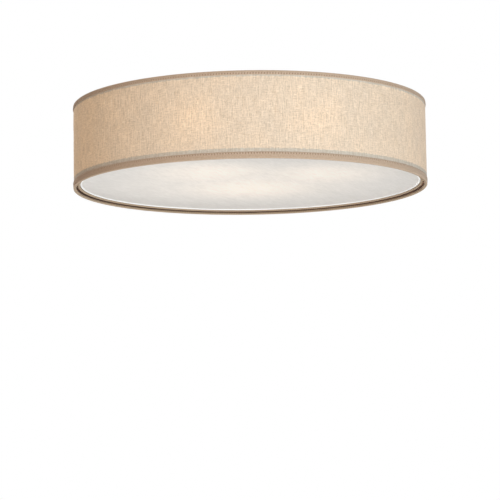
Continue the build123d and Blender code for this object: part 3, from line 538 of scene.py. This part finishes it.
tint = add(tree, MIX, {BY: light_slub, FROM: tint, TO: linear("#ece5d8")}, MIXED, **COLOUR)
tree.links.new(tint, shader.inputs["Base Color"])
height = add(tree, "ShaderNodeSeparateXYZ", (place,), "Z")
# Painted shade: the glow is cut off in a ragged strip beside each tape, where the tape inside would block the
# lamps.
ragged = add(tree, MATH, (grain(tree, cloth, RAGGED_MM, 4.0), 0.5), operation="SUBTRACT")
torn = add(tree, MATH, (ragged, 2 * UNLIT_REACH_MM * MM, height), operation="MULTIPLY_ADD")
lit = within(tree, torn, UNLIT_BELOW_MM, UNLIT_ABOVE_MM, UNLIT_EDGE_MM)
glow_centres = []
for azimuth in map(math.radians, GLOW_AZIMUTHS):
    x, y = OUTER_RADIUS_MM * MM * math.cos(azimuth), OUTER_RADIUS_MM * MM * math.sin(azimuth)
    glow_centres.append((x, y, -LAMP_DROP_MM * MM))
# Painted light: the linen's emission, brighter near these patch centres, stands in for the lamps shining
# through it.
painted_glow_patches = nearness(tree, place, glow_centres, GLOW_REACH_MM)
level = add(tree, MATH, (painted_glow_patches, 0.4, 0.96), operation="MULTIPLY_ADD")
thin_places = add(tree, RANGE, (yarn, 0.38, 0.62, 0.5, 1.5))
cloud = add(tree, RANGE, (cloudy, 0.3, 0.7, 0.86, 1.14))
glow = add(tree, MATH, (level, thin_places), operation="MULTIPLY")
glow = add(tree, MATH, (glow, cloud), operation="MULTIPLY")
glow = add(tree, MATH, (glow, lit), operation="MULTIPLY")
warmth = {BY: glow, FROM: linear("#000000"), TO: linear("#ffc580")}
painted_glow_colour = add(tree, MIX, warmth, MIXED, **COLOUR, clamp_factor=False)
tree.links.new(painted_glow_colour, shader.inputs["Emission Color"])
shader.inputs["Emission Strength"].default_value = LINEN_GLOW
threads = {"Vector": cloth, "Scale": wave_scale(YARN_PITCH_MM), "Distortion": 1.2, "Detail": 1.0}
warp = add(tree, WAVE, threads, "Fac", bands_direction="X")
weft = add(tree, WAVE, threads, "Fac", bands_direction="Y")
weave = add(tree, MATH, (warp, weft), operation="MULTIPLY")
surface = weighted(tree, (yarn, 2.0), (weave, 0.5))
raised = add(tree, "ShaderNodeBump", {"Height": surface, "Distance": WEAVE_DEPTH_MM * MM})
tree.links.new(raised, shader.inputs["Normal"])
cover.data.materials.append(linen)

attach(cover, "shade")
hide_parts("shade_fabric")

tree, given = new_tree(
    "scattered_slubs",
    Density="Float",
    Size="Vector",
    Low="Float",
    High="Float",
    Seed="Int",
    Material="Material",
)
height = add(tree, "ShaderNodeSeparateXYZ", (add(tree, "GeometryNodeInputPosition"),), "Z")
above = add(tree, "FunctionNodeCompare", {0: height, 1: given["Low"]}, operation="GREATER_THAN")
below = add(tree, "FunctionNodeCompare", {0: height, 1: given["High"]}, operation="LESS_THAN")
open_wall = add(tree, "FunctionNodeBooleanMath", (above, below), operation="AND")
spread = {
    "Mesh": given["Geometry"],
    "Selection": open_wall,
    "Density": given["Density"],
    "Seed": given["Seed"],
}
spots = add(tree, "GeometryNodeDistributePointsOnFaces", spread, "Points")
outwards = spots.node.outputs["Normal"]
ahead = add(tree, VECTOR_MATH, ((0.0, 0.0, 1.0), outwards), operation="CROSS_PRODUCT")
facing = add(tree, "FunctionNodeAlignRotationToVector", {"Vector": ahead}, axis="X")
bulge = add(tree, "GeometryNodeMeshUVSphere", {"Segments": 4, "Rings": 4, "Radius": 0.5})
change = {2: 0.35, 3: 1.5, "Seed": given["Seed"]}
stretch = add(tree, "FunctionNodeRandomValue", change, 1, data_type="FLOAT")
size = add(tree, VECTOR_MATH, {0: given["Size"], "Scale": stretch}, operation="SCALE")
slubs = add(tree, INSTANCE, {"Points": spots, "Instance": bulge, "Rotation": facing, "Scale": size})
end_tree(tree, slubs, given["Material"])
slub_sets = (
    ("upright_slubs", UPRIGHT_SLUBS_PER_M2, UPRIGHT_SLUB_MM, 7),
    ("crosswise_slubs", CROSSWISE_SLUBS_PER_M2, CROSSWISE_SLUB_MM, 8),
)
for name, density, size_mm, seed in slub_sets:
    slub_values = {
        "Density": density,
        "Size": [size * MM for size in size_mm],
        "Low": (UNLIT_BELOW_MM + SLUB_MARGIN_MM) * MM,
        "High": (UNLIT_ABOVE_MM - SLUB_MARGIN_MM) * MM,
        "Seed": seed,
        "Material": linen,
    }
    slub_piece = made_by(tree, name, slub_values, outer_face.copy())
    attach(slub_piece, "shade")


# Trim tapes: taupe woven tape folded over each wire and stitched down. The bottom face is 9 mm deep and the
# top one 5.8 mm. Pulled round the wire, the tape gathers into small slanted ribs, one to a stitch, with
# painted shade in the hollows between them and in dots between the stitches. The bottom tape's part inside
# the shade is painted dark brown as shade.

STITCH_PITCH_MM = 3.8
STITCHES = round(math.tau * OUTER_RADIUS_MM / STITCH_PITCH_MM)
TAPE_MM = 0.5
WALL_INNER_MM = 252.8
RING_MM = 251.55
ROLL_MM = 1.6
RIB_HEIGHT_MM = 0.16
RIB_SLANT = 1 / 2.2
SHADE_TOP_MM = -6.0
SHADE_BOTTOM_MM = -125.4
BOTTOM_FACE_MM = 9.0
BOTTOM_INSIDE_MM = 12.0
BOTTOM_ROW_MM = 2.3
TOP_FACE_MM = 5.8
TOP_INSIDE_MM = 8.0
TOP_ROW_MM = 2.0
COLUMNS_PER_RIB = 5
FACE_BULGE_MM = 0.18
TAPE_CLOTH_MM = 0.4
RIBS_START_MM = 9.6
PAST_END_MM = 40.0
NOWHERE_MM = (-9.0, -8.0)
CORD_PITCH_MM = 0.7
CORD_DEPTH_MM = 0.1
HALF_ROW_MM = 1.0
STITCH_SIZE_MM = (2.5, 0.6, 0.85)
STITCH_SLANT = 0.35
STITCH_STAND_MM = 0.12
STITCH_SHIFT_MM = 0.2


def folded_tape(face_mm, inside_mm):
    """The tape's outer line as (radius, distance from the shade's end), from its outside edge inwards."""
    line = [(CLOTH_RADIUS_MM + 0.12, face_mm)]
    for share in (0.97, 0.8, 0.6, 0.4, 0.22):
        line.append((OUTER_RADIUS_MM + FACE_BULGE_MM * math.sin(math.pi * share), face_mm * share))
    line += [(OUTER_RADIUS_MM - 0.05, 0.45), (OUTER_RADIUS_MM - 0.45, 0.05), (WALL_INNER_MM + 0.1, -0.02)]
    for turn in (270, 240, 210, 180, 150, 125):
        bend = math.radians(turn)
        line.append((RING_MM + ROLL_MM * math.cos(bend), ROLL_MM + ROLL_MM * math.sin(bend)))
    return line + [(WALL_INNER_MM - TAPE_MM, 2 * ROLL_MM + 0.6), (WALL_INNER_MM - TAPE_MM, inside_mm)]


def run_of(line):
    """Lengths along a line of points from its start."""
    return np.concatenate([[0.0], np.cumsum(np.linalg.norm(np.diff(np.array(line), axis=0), axis=1))])


def turned_band(name, line, columns, lift):
    """A band swept round the light's axis from (radius, height) points, each raised by its own lift in each
    column. Its UV map holds lengths round and across it in metres."""
    line = np.array(line, float)
    run = np.gradient(line, axis=0)
    run /= np.linalg.norm(run, axis=1)[:, None]
    turn = (np.arange(columns) * math.tau / columns)[:, None]
    radius = line[:, 0] - lift * run[:, 1]
    height = line[:, 1] + lift * run[:, 0]
    corners = np.stack([radius * np.cos(turn), radius * np.sin(turn), height], axis=-1)
    mesh = bpy.data.meshes.new(name)
    rows = len(line) - 1
    faces = [face[::-1] for face in quads(columns, rows, closed=True)]
    mesh.from_pydata((corners.reshape(-1, 3) * MM).tolist(), [], faces)
    across = run_of(line) * MM
    step = math.tau * OUTER_RADIUS_MM * MM / columns
    lengths = mesh.uv_layers.new(name="tape")
    for face in mesh.polygons:
        for loop in face.loop_indices:
            column, row = divmod(mesh.loops[loop].vertex_index, len(line))
            column += columns if column == 0 and face.index >= (columns - 1) * rows else 0
            lengths.data[loop].uv = (column * step, across[row])
    return placed(name, mesh)


def woven_tape(name, ribs_mm, row_mm, inside_shade_mm):
    """Taupe woven tape, with painted shade in the hollows between its slanted ribs, painted shade between its
    stitches, and a part painted dark as shade. Each place is given by lengths across the tape, and
    NOWHERE_MM leaves it out."""
    material = bpy.data.materials.new(name)
    material.use_nodes = True
    tree = material.node_tree
    shader = tree.nodes["Principled BSDF"]
    shader.inputs["Roughness"].default_value = 0.85
    shader.inputs["Sheen Weight"].default_value = 0.08
    lengths = add(tree, "ShaderNodeUVMap", uv_map="tape")
    mottle = grain(tree, lengths, (2.2, 2.2, 1.0), 3.0)
    fibre = grain(tree, lengths, (0.5, 2.5, 1.0), 2.0)
    mixed = weighted(tree, (mottle, 0.5), (fibre, 0.5))
    share = add(tree, RANGE, (mixed, 0.36, 0.64))
    tint = add(tree, MIX, {BY: share, FROM: linear("#b59c84"), TO: linear("#c9b49e")}, MIXED, **COLOUR)
    across = add(tree, "ShaderNodeSeparateXYZ", (lengths,), "Y")
    around = across.node.outputs["X"]
    cycle = math.tau / (STITCH_PITCH_MM * MM)
    slanted = weighted(tree, (around, cycle), (across, cycle * RIB_SLANT))
    crest = add(tree, MATH, (slanted,), operation="COSINE")
    # Painted shade: the hollows between the slanted ribs are darkened.
    painted_rib_shade = add(tree, RANGE, (crest, -0.6, 0.5, 0.75, 0.0), **SMOOTH)
    painted_rib_shade = add(tree, MATH, (painted_rib_shade, within(tree, across, *ribs_mm, 0.6)), operation="MULTIPLY")
    tint = add(tree, MIX, {BY: painted_rib_shade, FROM: tint, TO: linear("#8c7c5e")}, MIXED, **COLOUR)
    # Painted shade: dark dots between the stitches, where the thread sinks into the tape.
    stitches = add(tree, MATH, (around, cycle), operation="MULTIPLY")
    crest = add(tree, MATH, (stitches,), operation="COSINE")
    painted_stitch_shade = add(tree, RANGE, (crest, -0.9, 0.1, 0.85, 0.0), **SMOOTH)
    beside = within(tree, across, row_mm - HALF_ROW_MM, row_mm + HALF_ROW_MM, 0.5)
    painted_stitch_shade = add(tree, MATH, (painted_stitch_shade, beside), operation="MULTIPLY")
    tint = add(tree, MIX, {BY: painted_stitch_shade, FROM: tint, TO: linear("#7f6350")}, MIXED, **COLOUR)
    # Painted shade: the tape's inside part is darkened where it lies in shadow inside the shade.
    inside_shade = within(tree, across, *inside_shade_mm, 0.8)
    tint = add(tree, MIX, {BY: inside_shade, FROM: tint, TO: linear("#5d4030")}, MIXED, **COLOUR)
    tree.links.new(tint, shader.inputs["Base Color"])
    corded = {"Vector": lengths, "Scale": wave_scale(CORD_PITCH_MM), "Distortion": 0.6, "Detail": 1.0}
    cords = add(tree, WAVE, corded, "Fac", bands_direction="X")
    surface = weighted(tree, (mottle, 0.8), (cords, 0.8))
    raised = add(tree, "ShaderNodeBump", {"Height": surface, "Distance": CORD_DEPTH_MM * MM})
    tree.links.new(raised, shader.inputs["Normal"])
    return material


def tape_piece(name, line, ribs_mm, row_mm, inside_shade_mm, node, body):
    """One tape, with its ribs, thickness, finish and place in the light."""
    across = run_of(line)
    window = np.clip(across - ribs_mm[0], 0, 1) * np.clip(ribs_mm[1] - across, 0, 1)
    columns = STITCHES * COLUMNS_PER_RIB
    phase = np.arange(columns)[:, None] / COLUMNS_PER_RIB + across * RIB_SLANT / STITCH_PITCH_MM
    lift = RIB_HEIGHT_MM * window * (0.5 + 0.5 * np.cos(math.tau * phase))
    piece = turned_band(name, line, columns, lift)
    piece.data.materials.append(woven_tape(name + "_weave", ribs_mm, row_mm, inside_shade_mm))
    wall = piece.modifiers.new("tape", "SOLIDIFY")
    wall.thickness = TAPE_CLOTH_MM * MM
    wall.offset = -1.0
    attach(piece, body)
    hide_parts(node)


bottom_line = [(r, SHADE_BOTTOM_MM + d) for r, d in folded_tape(BOTTOM_FACE_MM, BOTTOM_INSIDE_MM)]
bottom_length = run_of(bottom_line)[-1]
inner_start = bottom_length - BOTTOM_INSIDE_MM + 2 * ROLL_MM
tape_piece(
    "bottom_tape",
    bottom_line,
    (RIBS_START_MM, inner_start),
    BOTTOM_ROW_MM,
    (inner_start - 0.6, PAST_END_MM),
    "bottom_trim",
    "shade",
)
top_line = [(r, SHADE_TOP_MM - d) for r, d in folded_tape(TOP_FACE_MM, TOP_INSIDE_MM)][::-1]
top_row = run_of(top_line)[-1] - TOP_ROW_MM
tape_piece("top_tape", top_line, NOWHERE_MM, top_row, NOWHERE_MM, "top_trim", "shade")

thread, _, _ = finish("stitching_thread", "#dccab6", "#c4ae97", (0.6, 0.6, 0.6), 0.7, 0.05)
tree, given = new_tree(
    "stitch_row",
    Count="Int",
    Radius="Float",
    Height="Float",
    Size="Vector",
    Slant="Float",
    Material="Material",
)
row = add(tree, "GeometryNodeMeshCircle", {"Vertices": given["Count"], "Radius": given["Radius"]})
spot = add(tree, "GeometryNodeInputPosition")
ahead = add(tree, VECTOR_MATH, ((0.0, 0.0, 1.0), spot), operation="CROSS_PRODUCT")
facing = add(tree, "FunctionNodeAlignRotationToVector", {"Vector": ahead}, axis="X")
slant = add(tree, COMBINE, (0.0, given["Slant"]))
turned = add(tree, "FunctionNodeRotateRotation", (facing, slant), rotation_space="LOCAL")
loop = add(tree, "GeometryNodeMeshUVSphere", {"Segments": 8, "Rings": 5, "Radius": 0.5})
sewn = add(tree, INSTANCE, {"Points": row, "Instance": loop, "Rotation": turned, "Scale": given["Size"]})
lift = add(tree, COMBINE, (0.0, 0.0, given["Height"]))
raised = add(tree, "GeometryNodeTransform", {"Geometry": sewn, "Translation": lift})
end_tree(tree, raised, given["Material"])
rows = (
    ("bottom_stitches", SHADE_BOTTOM_MM + BOTTOM_FACE_MM - BOTTOM_ROW_MM + STITCH_SHIFT_MM, STITCH_SLANT),
    ("top_stitches", SHADE_TOP_MM - TOP_FACE_MM + TOP_ROW_MM - STITCH_SHIFT_MM, -STITCH_SLANT),
)
for name, height_mm, lean in rows:
    row_values = {
        "Count": STITCHES,
        "Radius": (OUTER_RADIUS_MM + STITCH_STAND_MM) * MM,
        "Height": height_mm * MM,
        "Size": [size * MM for size in STITCH_SIZE_MM],
        "Slant": lean,
        "Material": thread,
    }
    stitches = made_by(tree, name, row_values)
    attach(stitches, "shade")


# Magnets: pressed blocks under bright nickel plate, glued to their brackets inside the lower ring. The plate
# is bright and mirrors what is round it.

plated, _, _ = finish("bright_nickel_plate", "#d0d1d3", "#b4b5b8", (2.0, 2.0, 2.0), 0.18, 0.01, metallic=1.0)
dress(plated, "diffuser_magnets")


# Diffuser: a cast opal disc with fine fibres in it. The light of the three lamps through it is painted into
# its emission as an even warm glow that fades towards the rim, with three soft warm spots. It is bound to a
# wire hoop by a tape of the same taupe, and sealed inside the hoop by a white bead, painted with a faint glow
# of its own.

DISC_RADIUS_MM = 247.45
DISC_LOW_MM = -118.25
DISC_HIGH_MM = -116.75
DISC_RINGS = 40
DISC_COLUMNS = 240
FIBRE_ANGLE = 68.0
FIBRE_MM = (15.0, 1.5, 400.0)
SPOT_CENTRES_MM = ((-65.0, -115.0), (115.0, -88.0), (0.0, 45.0))
SPOT_REACH_MM = 125.0
CLUMP_MM = (40.0, 14.0, 400.0)
FIBRE_DEPTH_MM = 0.08
DISC_GLOW = 0.3
EVEN_GLOW_MM = 110.0
RIM_GLOW_MM = 262.0
MIDDLE_LEVEL = 0.56
RIM_LEVEL = 0.12
SPOT_LEVEL = 0.48
HOOP_MM = 246.2
HOOP_Z_MM = -119.65
HOOP_ROLL_MM = 1.75
DIFFUSER_RADIUS_MM = 247.95
DIFFUSER_TAPE_MM = 5.0
BEAD_INNER_MM = 241.75
BEAD_OUTER_MM = 244.45
BEAD_DEPTH_MM = 1.4
BEAD_SCALLOP_MM = 0.12
BEAD_GLOW = 0.1
SCALLOP_COLUMNS = 4
HOOP_RIBS_MM = (8.4, 14.5)

opal = bpy.data.materials.new("opal_acrylic")
opal.use_nodes = True
tree = opal.node_tree
shader = tree.nodes["Principled BSDF"]
shader.inputs["Roughness"].default_value = 0.45
place = add(tree, "ShaderNodeTexCoord", out="Object")
turn_back = (0.0, 0.0, -math.radians(FIBRE_ANGLE))
combed = add(tree, "ShaderNodeMapping", {"Vector": place, "Rotation": turn_back})
fibres = grain(tree, combed, FIBRE_MM, 4.0)
clumps = grain(tree, combed, CLUMP_MM, 3.0)
texture = weighted(tree, (fibres, 0.65), (clumps, 0.35))
share = add(tree, RANGE, (texture, 0.36, 0.64))
tint = add(tree, MIX, {BY: share, FROM: linear("#d9d7d3"), TO: linear("#e4e2df")}, MIXED, **COLOUR)
tree.links.new(tint, shader.inputs["Base Color"])
spots_at = [(x * MM, y * MM, DISC_LOW_MM * MM) for x, y in SPOT_CENTRES_MM]
# Painted light: warm spots and a glow fading to the rim, in the disc's emission, stand in for the lamps
# behind it.
painted_lamp_spots = nearness(tree, place, spots_at, SPOT_REACH_MM)
out = add(tree, VECTOR_MATH, (place,), "Value", operation="LENGTH")
fall = (out, EVEN_GLOW_MM * MM, RIM_GLOW_MM * MM, MIDDLE_LEVEL, RIM_LEVEL)
level = add(tree, RANGE, fall, **SMOOTH)
level = weighted(tree, (painted_lamp_spots, SPOT_LEVEL), (level, 1.0))
uneven = add(tree, RANGE, (texture, 0.36, 0.64, 0.86, 1.14))
level = add(tree, MATH, (level, uneven), operation="MULTIPLY")
painted_glow_colour = add(tree, MIX, {BY: level, FROM: linear("#000000"), TO: linear("#ffe6c6")}, MIXED, **COLOUR)
tree.links.new(painted_glow_colour, shader.inputs["Emission Color"])
shader.inputs["Emission Strength"].default_value = DISC_GLOW
raised = add(tree, "ShaderNodeBump", {"Height": texture, "Distance": FIBRE_DEPTH_MM * MM})
tree.links.new(raised, shader.inputs["Normal"])

radii = np.linspace(0.0, DISC_RADIUS_MM, DISC_RINGS + 1)[1:]
turns = np.arange(DISC_COLUMNS) * math.tau / DISC_COLUMNS
corners = []
for level_mm in (DISC_LOW_MM, DISC_HIGH_MM):
    corners.append((0.0, 0.0, level_mm * MM))
    corners += [(r * math.cos(a) * MM, r * math.sin(a) * MM, level_mm * MM) for r in radii for a in turns]
per_side = 1 + DISC_RINGS * DISC_COLUMNS
rim = 1 + (DISC_RINGS - 1) * DISC_COLUMNS
faces = []
for column in range(DISC_COLUMNS):
    following = (column + 1) % DISC_COLUMNS
    for first in (0, per_side):
        wedge = [(first, first + 1 + column, first + 1 + following)]
        for inner in range(first + 1, first + rim, DISC_COLUMNS):
            outer = inner + DISC_COLUMNS
            wedge.append((inner + column, outer + column, outer + following, inner + following))
        faces += wedge if first else [face[::-1] for face in wedge]
    faces.append((rim + column, rim + following, per_side + rim + following, per_side + rim + column))
mesh = bpy.data.meshes.new("opal_disc")
mesh.from_pydata(corners, [], faces)
disc = placed("opal_disc", mesh, smooth=False)
disc.data.materials.append(opal)
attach(disc, "diffuser")
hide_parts("diffuser_panel")

hoop_line = [
    (DIFFUSER_RADIUS_MM - DIFFUSER_TAPE_MM, DISC_HIGH_MM + TAPE_MM),
    (DIFFUSER_RADIUS_MM - 0.35, DISC_HIGH_MM + TAPE_MM),
    (DIFFUSER_RADIUS_MM, DISC_HIGH_MM + 0.15),
    (DIFFUSER_RADIUS_MM, HOOP_Z_MM + 2.0),
]
for turn in np.radians([0, -25, -50, -70, -90, -110, -130, -155, -180, -205, -230]):
    hoop_line.append((HOOP_MM + HOOP_ROLL_MM * math.cos(turn), HOOP_Z_MM + HOOP_ROLL_MM * math.sin(turn)))
tape_piece("diffuser_tape", hoop_line, HOOP_RIBS_MM, NOWHERE_MM[0], NOWHERE_MM, "diffuser_trim", "diffuser")

bead_plastic, _, shader = finish("white_pvc_bead", "#fbfcfb", "#eff2f1", (1.8, 1.8, 1.8), 0.35, 0.02)
# Painted light: the bead is given a faint bluish-white emission, though it is no lamp.
shader.inputs["Emission Color"].default_value = linear("#f4faff")
shader.inputs["Emission Strength"].default_value = BEAD_GLOW
middle = (BEAD_INNER_MM + BEAD_OUTER_MM) / 2
half_bead = (BEAD_OUTER_MM - BEAD_INNER_MM) / 2
bead_line = []
for turn in np.radians([360, 340, 320, 300, 285, 270, 255, 240, 220, 200, 180]):
    bead_line.append((middle + half_bead * math.cos(turn), DISC_LOW_MM + BEAD_DEPTH_MM * math.sin(turn)))
columns = STITCHES * SCALLOP_COLUMNS
crown = np.sin(math.pi * np.linspace(0, 1, len(bead_line)))
phase = math.tau * np.arange(columns)[:, None] / SCALLOP_COLUMNS
scallops = -BEAD_SCALLOP_MM * (0.5 + 0.5 * np.cos(phase)) * crown
bead = turned_band("white_bead", bead_line, columns, scallops)
bead.data.materials.append(bead_plastic)
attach(bead, "diffuser")
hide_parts("diffuser_bead")


# Studio: a white surround, a pale floor far below, a key softbox in front on the right, a weak warm one on
# the left, and fills that keep the underside, the top and the back readable.

FLOOR_DROP = 3.9
FLOOR_SIZE = 30.0
AMBIENT = 0.23
AIM = Vector((0.0, 0.0, -0.065))

world = bpy.data.worlds.new("studio")
bpy.context.scene.world = world
world.use_nodes = True
tree = world.node_tree
tree.nodes.clear()
rays = add(tree, "ShaderNodeLightPath").node.outputs
seen = add(tree, MATH, (rays["Is Camera Ray"], rays["Is Glossy Ray"]), operation="MAXIMUM")
seen = add(tree, MATH, (seen, rays["Is Transmission Ray"]), operation="MAXIMUM")
dim = add(tree, "ShaderNodeBackground", (linear("#ffffff"), AMBIENT))
white = add(tree, "ShaderNodeBackground", (linear("#ffffff"), 1.0))
add(tree, "ShaderNodeOutputWorld", (add(tree, "ShaderNodeMixShader", (seen, dim, white)),))

floor_paint, _, _ = finish("pale_floor_paint", "#f3f2f0", "#efeeec", (40.0, 40.0, 40.0), 0.8, 0.1)
half = FLOOR_SIZE / 2
corners = [(x * half, y * half, -FLOOR_DROP) for x, y in ((-1, -1), (1, -1), (1, 1), (-1, 1))]
mesh = bpy.data.meshes.new("floor")
mesh.from_pydata(corners, [], [(0, 1, 2, 3)])
floor = placed("floor", mesh, smooth=False)
floor.data.materials.append(floor_paint)


def softbox(name, place, watts, size, colour):
    """A square lamp aimed at the light, that the camera doesn't see."""
    lamp = bpy.data.lights.new(name, "AREA")
    lamp.energy = watts
    lamp.size = size
    lamp.color = linear(colour)[:3]
    box = bpy.data.objects.new(name, lamp)
    bpy.context.scene.collection.objects.link(box)
    box.location = place
    box.rotation_euler = (AIM - Vector(place)).to_track_quat("-Z", "Y").to_euler()
    box.visible_camera = False


softbox("key", (1.23, -3.04, -0.1), 72.0, 1.4, "#ffffff")
softbox("warm_side", (-2.7, -1.5, -0.2), 14.0, 1.4, "#ffbc6c")
softbox("under_fill", (0.3, -0.3, -2.7), 43.0, 1.8, "#ffffff")
softbox("top_fill", (-0.4, 0.6, 2.6), 22.0, 2.0, "#ffffff")
softbox("back_fill", (-1.0, 3.2, 0.4), 30.0, 2.0, "#fffaf4")


# Camera: 3.3 m in front of the light and below it, looking slightly up with a long lens, as the photograph
# was taken. Its angles are in radians, and its roll is the small tilt of the photograph.

CAMERA_PLACE = (0.0, -3.2698, -0.655)
CAMERA_PITCH = 0.1339
CAMERA_YAW = -0.0006
CAMERA_ROLL = -0.0145
CAMERA_LENS_MM = 165.65

view = bpy.data.cameras.new("camera")
view.lens = CAMERA_LENS_MM
view.clip_end = 100.0
camera = bpy.data.objects.new("camera", view)
bpy.context.scene.collection.objects.link(camera)
bpy.context.scene.camera = camera
level_ahead = Vector((math.sin(CAMERA_YAW), math.cos(CAMERA_YAW), 0.0)) * math.cos(CAMERA_PITCH)
ahead = level_ahead + Vector((0.0, 0.0, math.sin(CAMERA_PITCH)))
level_right = Vector((math.cos(CAMERA_YAW), -math.sin(CAMERA_YAW), 0.0))
level_up = level_right.cross(ahead)
right = level_right * math.cos(CAMERA_ROLL) + level_up * math.sin(CAMERA_ROLL)
upwards = -level_right * math.sin(CAMERA_ROLL) + level_up * math.cos(CAMERA_ROLL)
turn = Matrix((right, upwards, -ahead)).transposed()
camera.matrix_world = Matrix.Translation(CAMERA_PLACE) @ turn.to_4x4()
bpy.context.scene.view_settings.view_transform = "Standard"
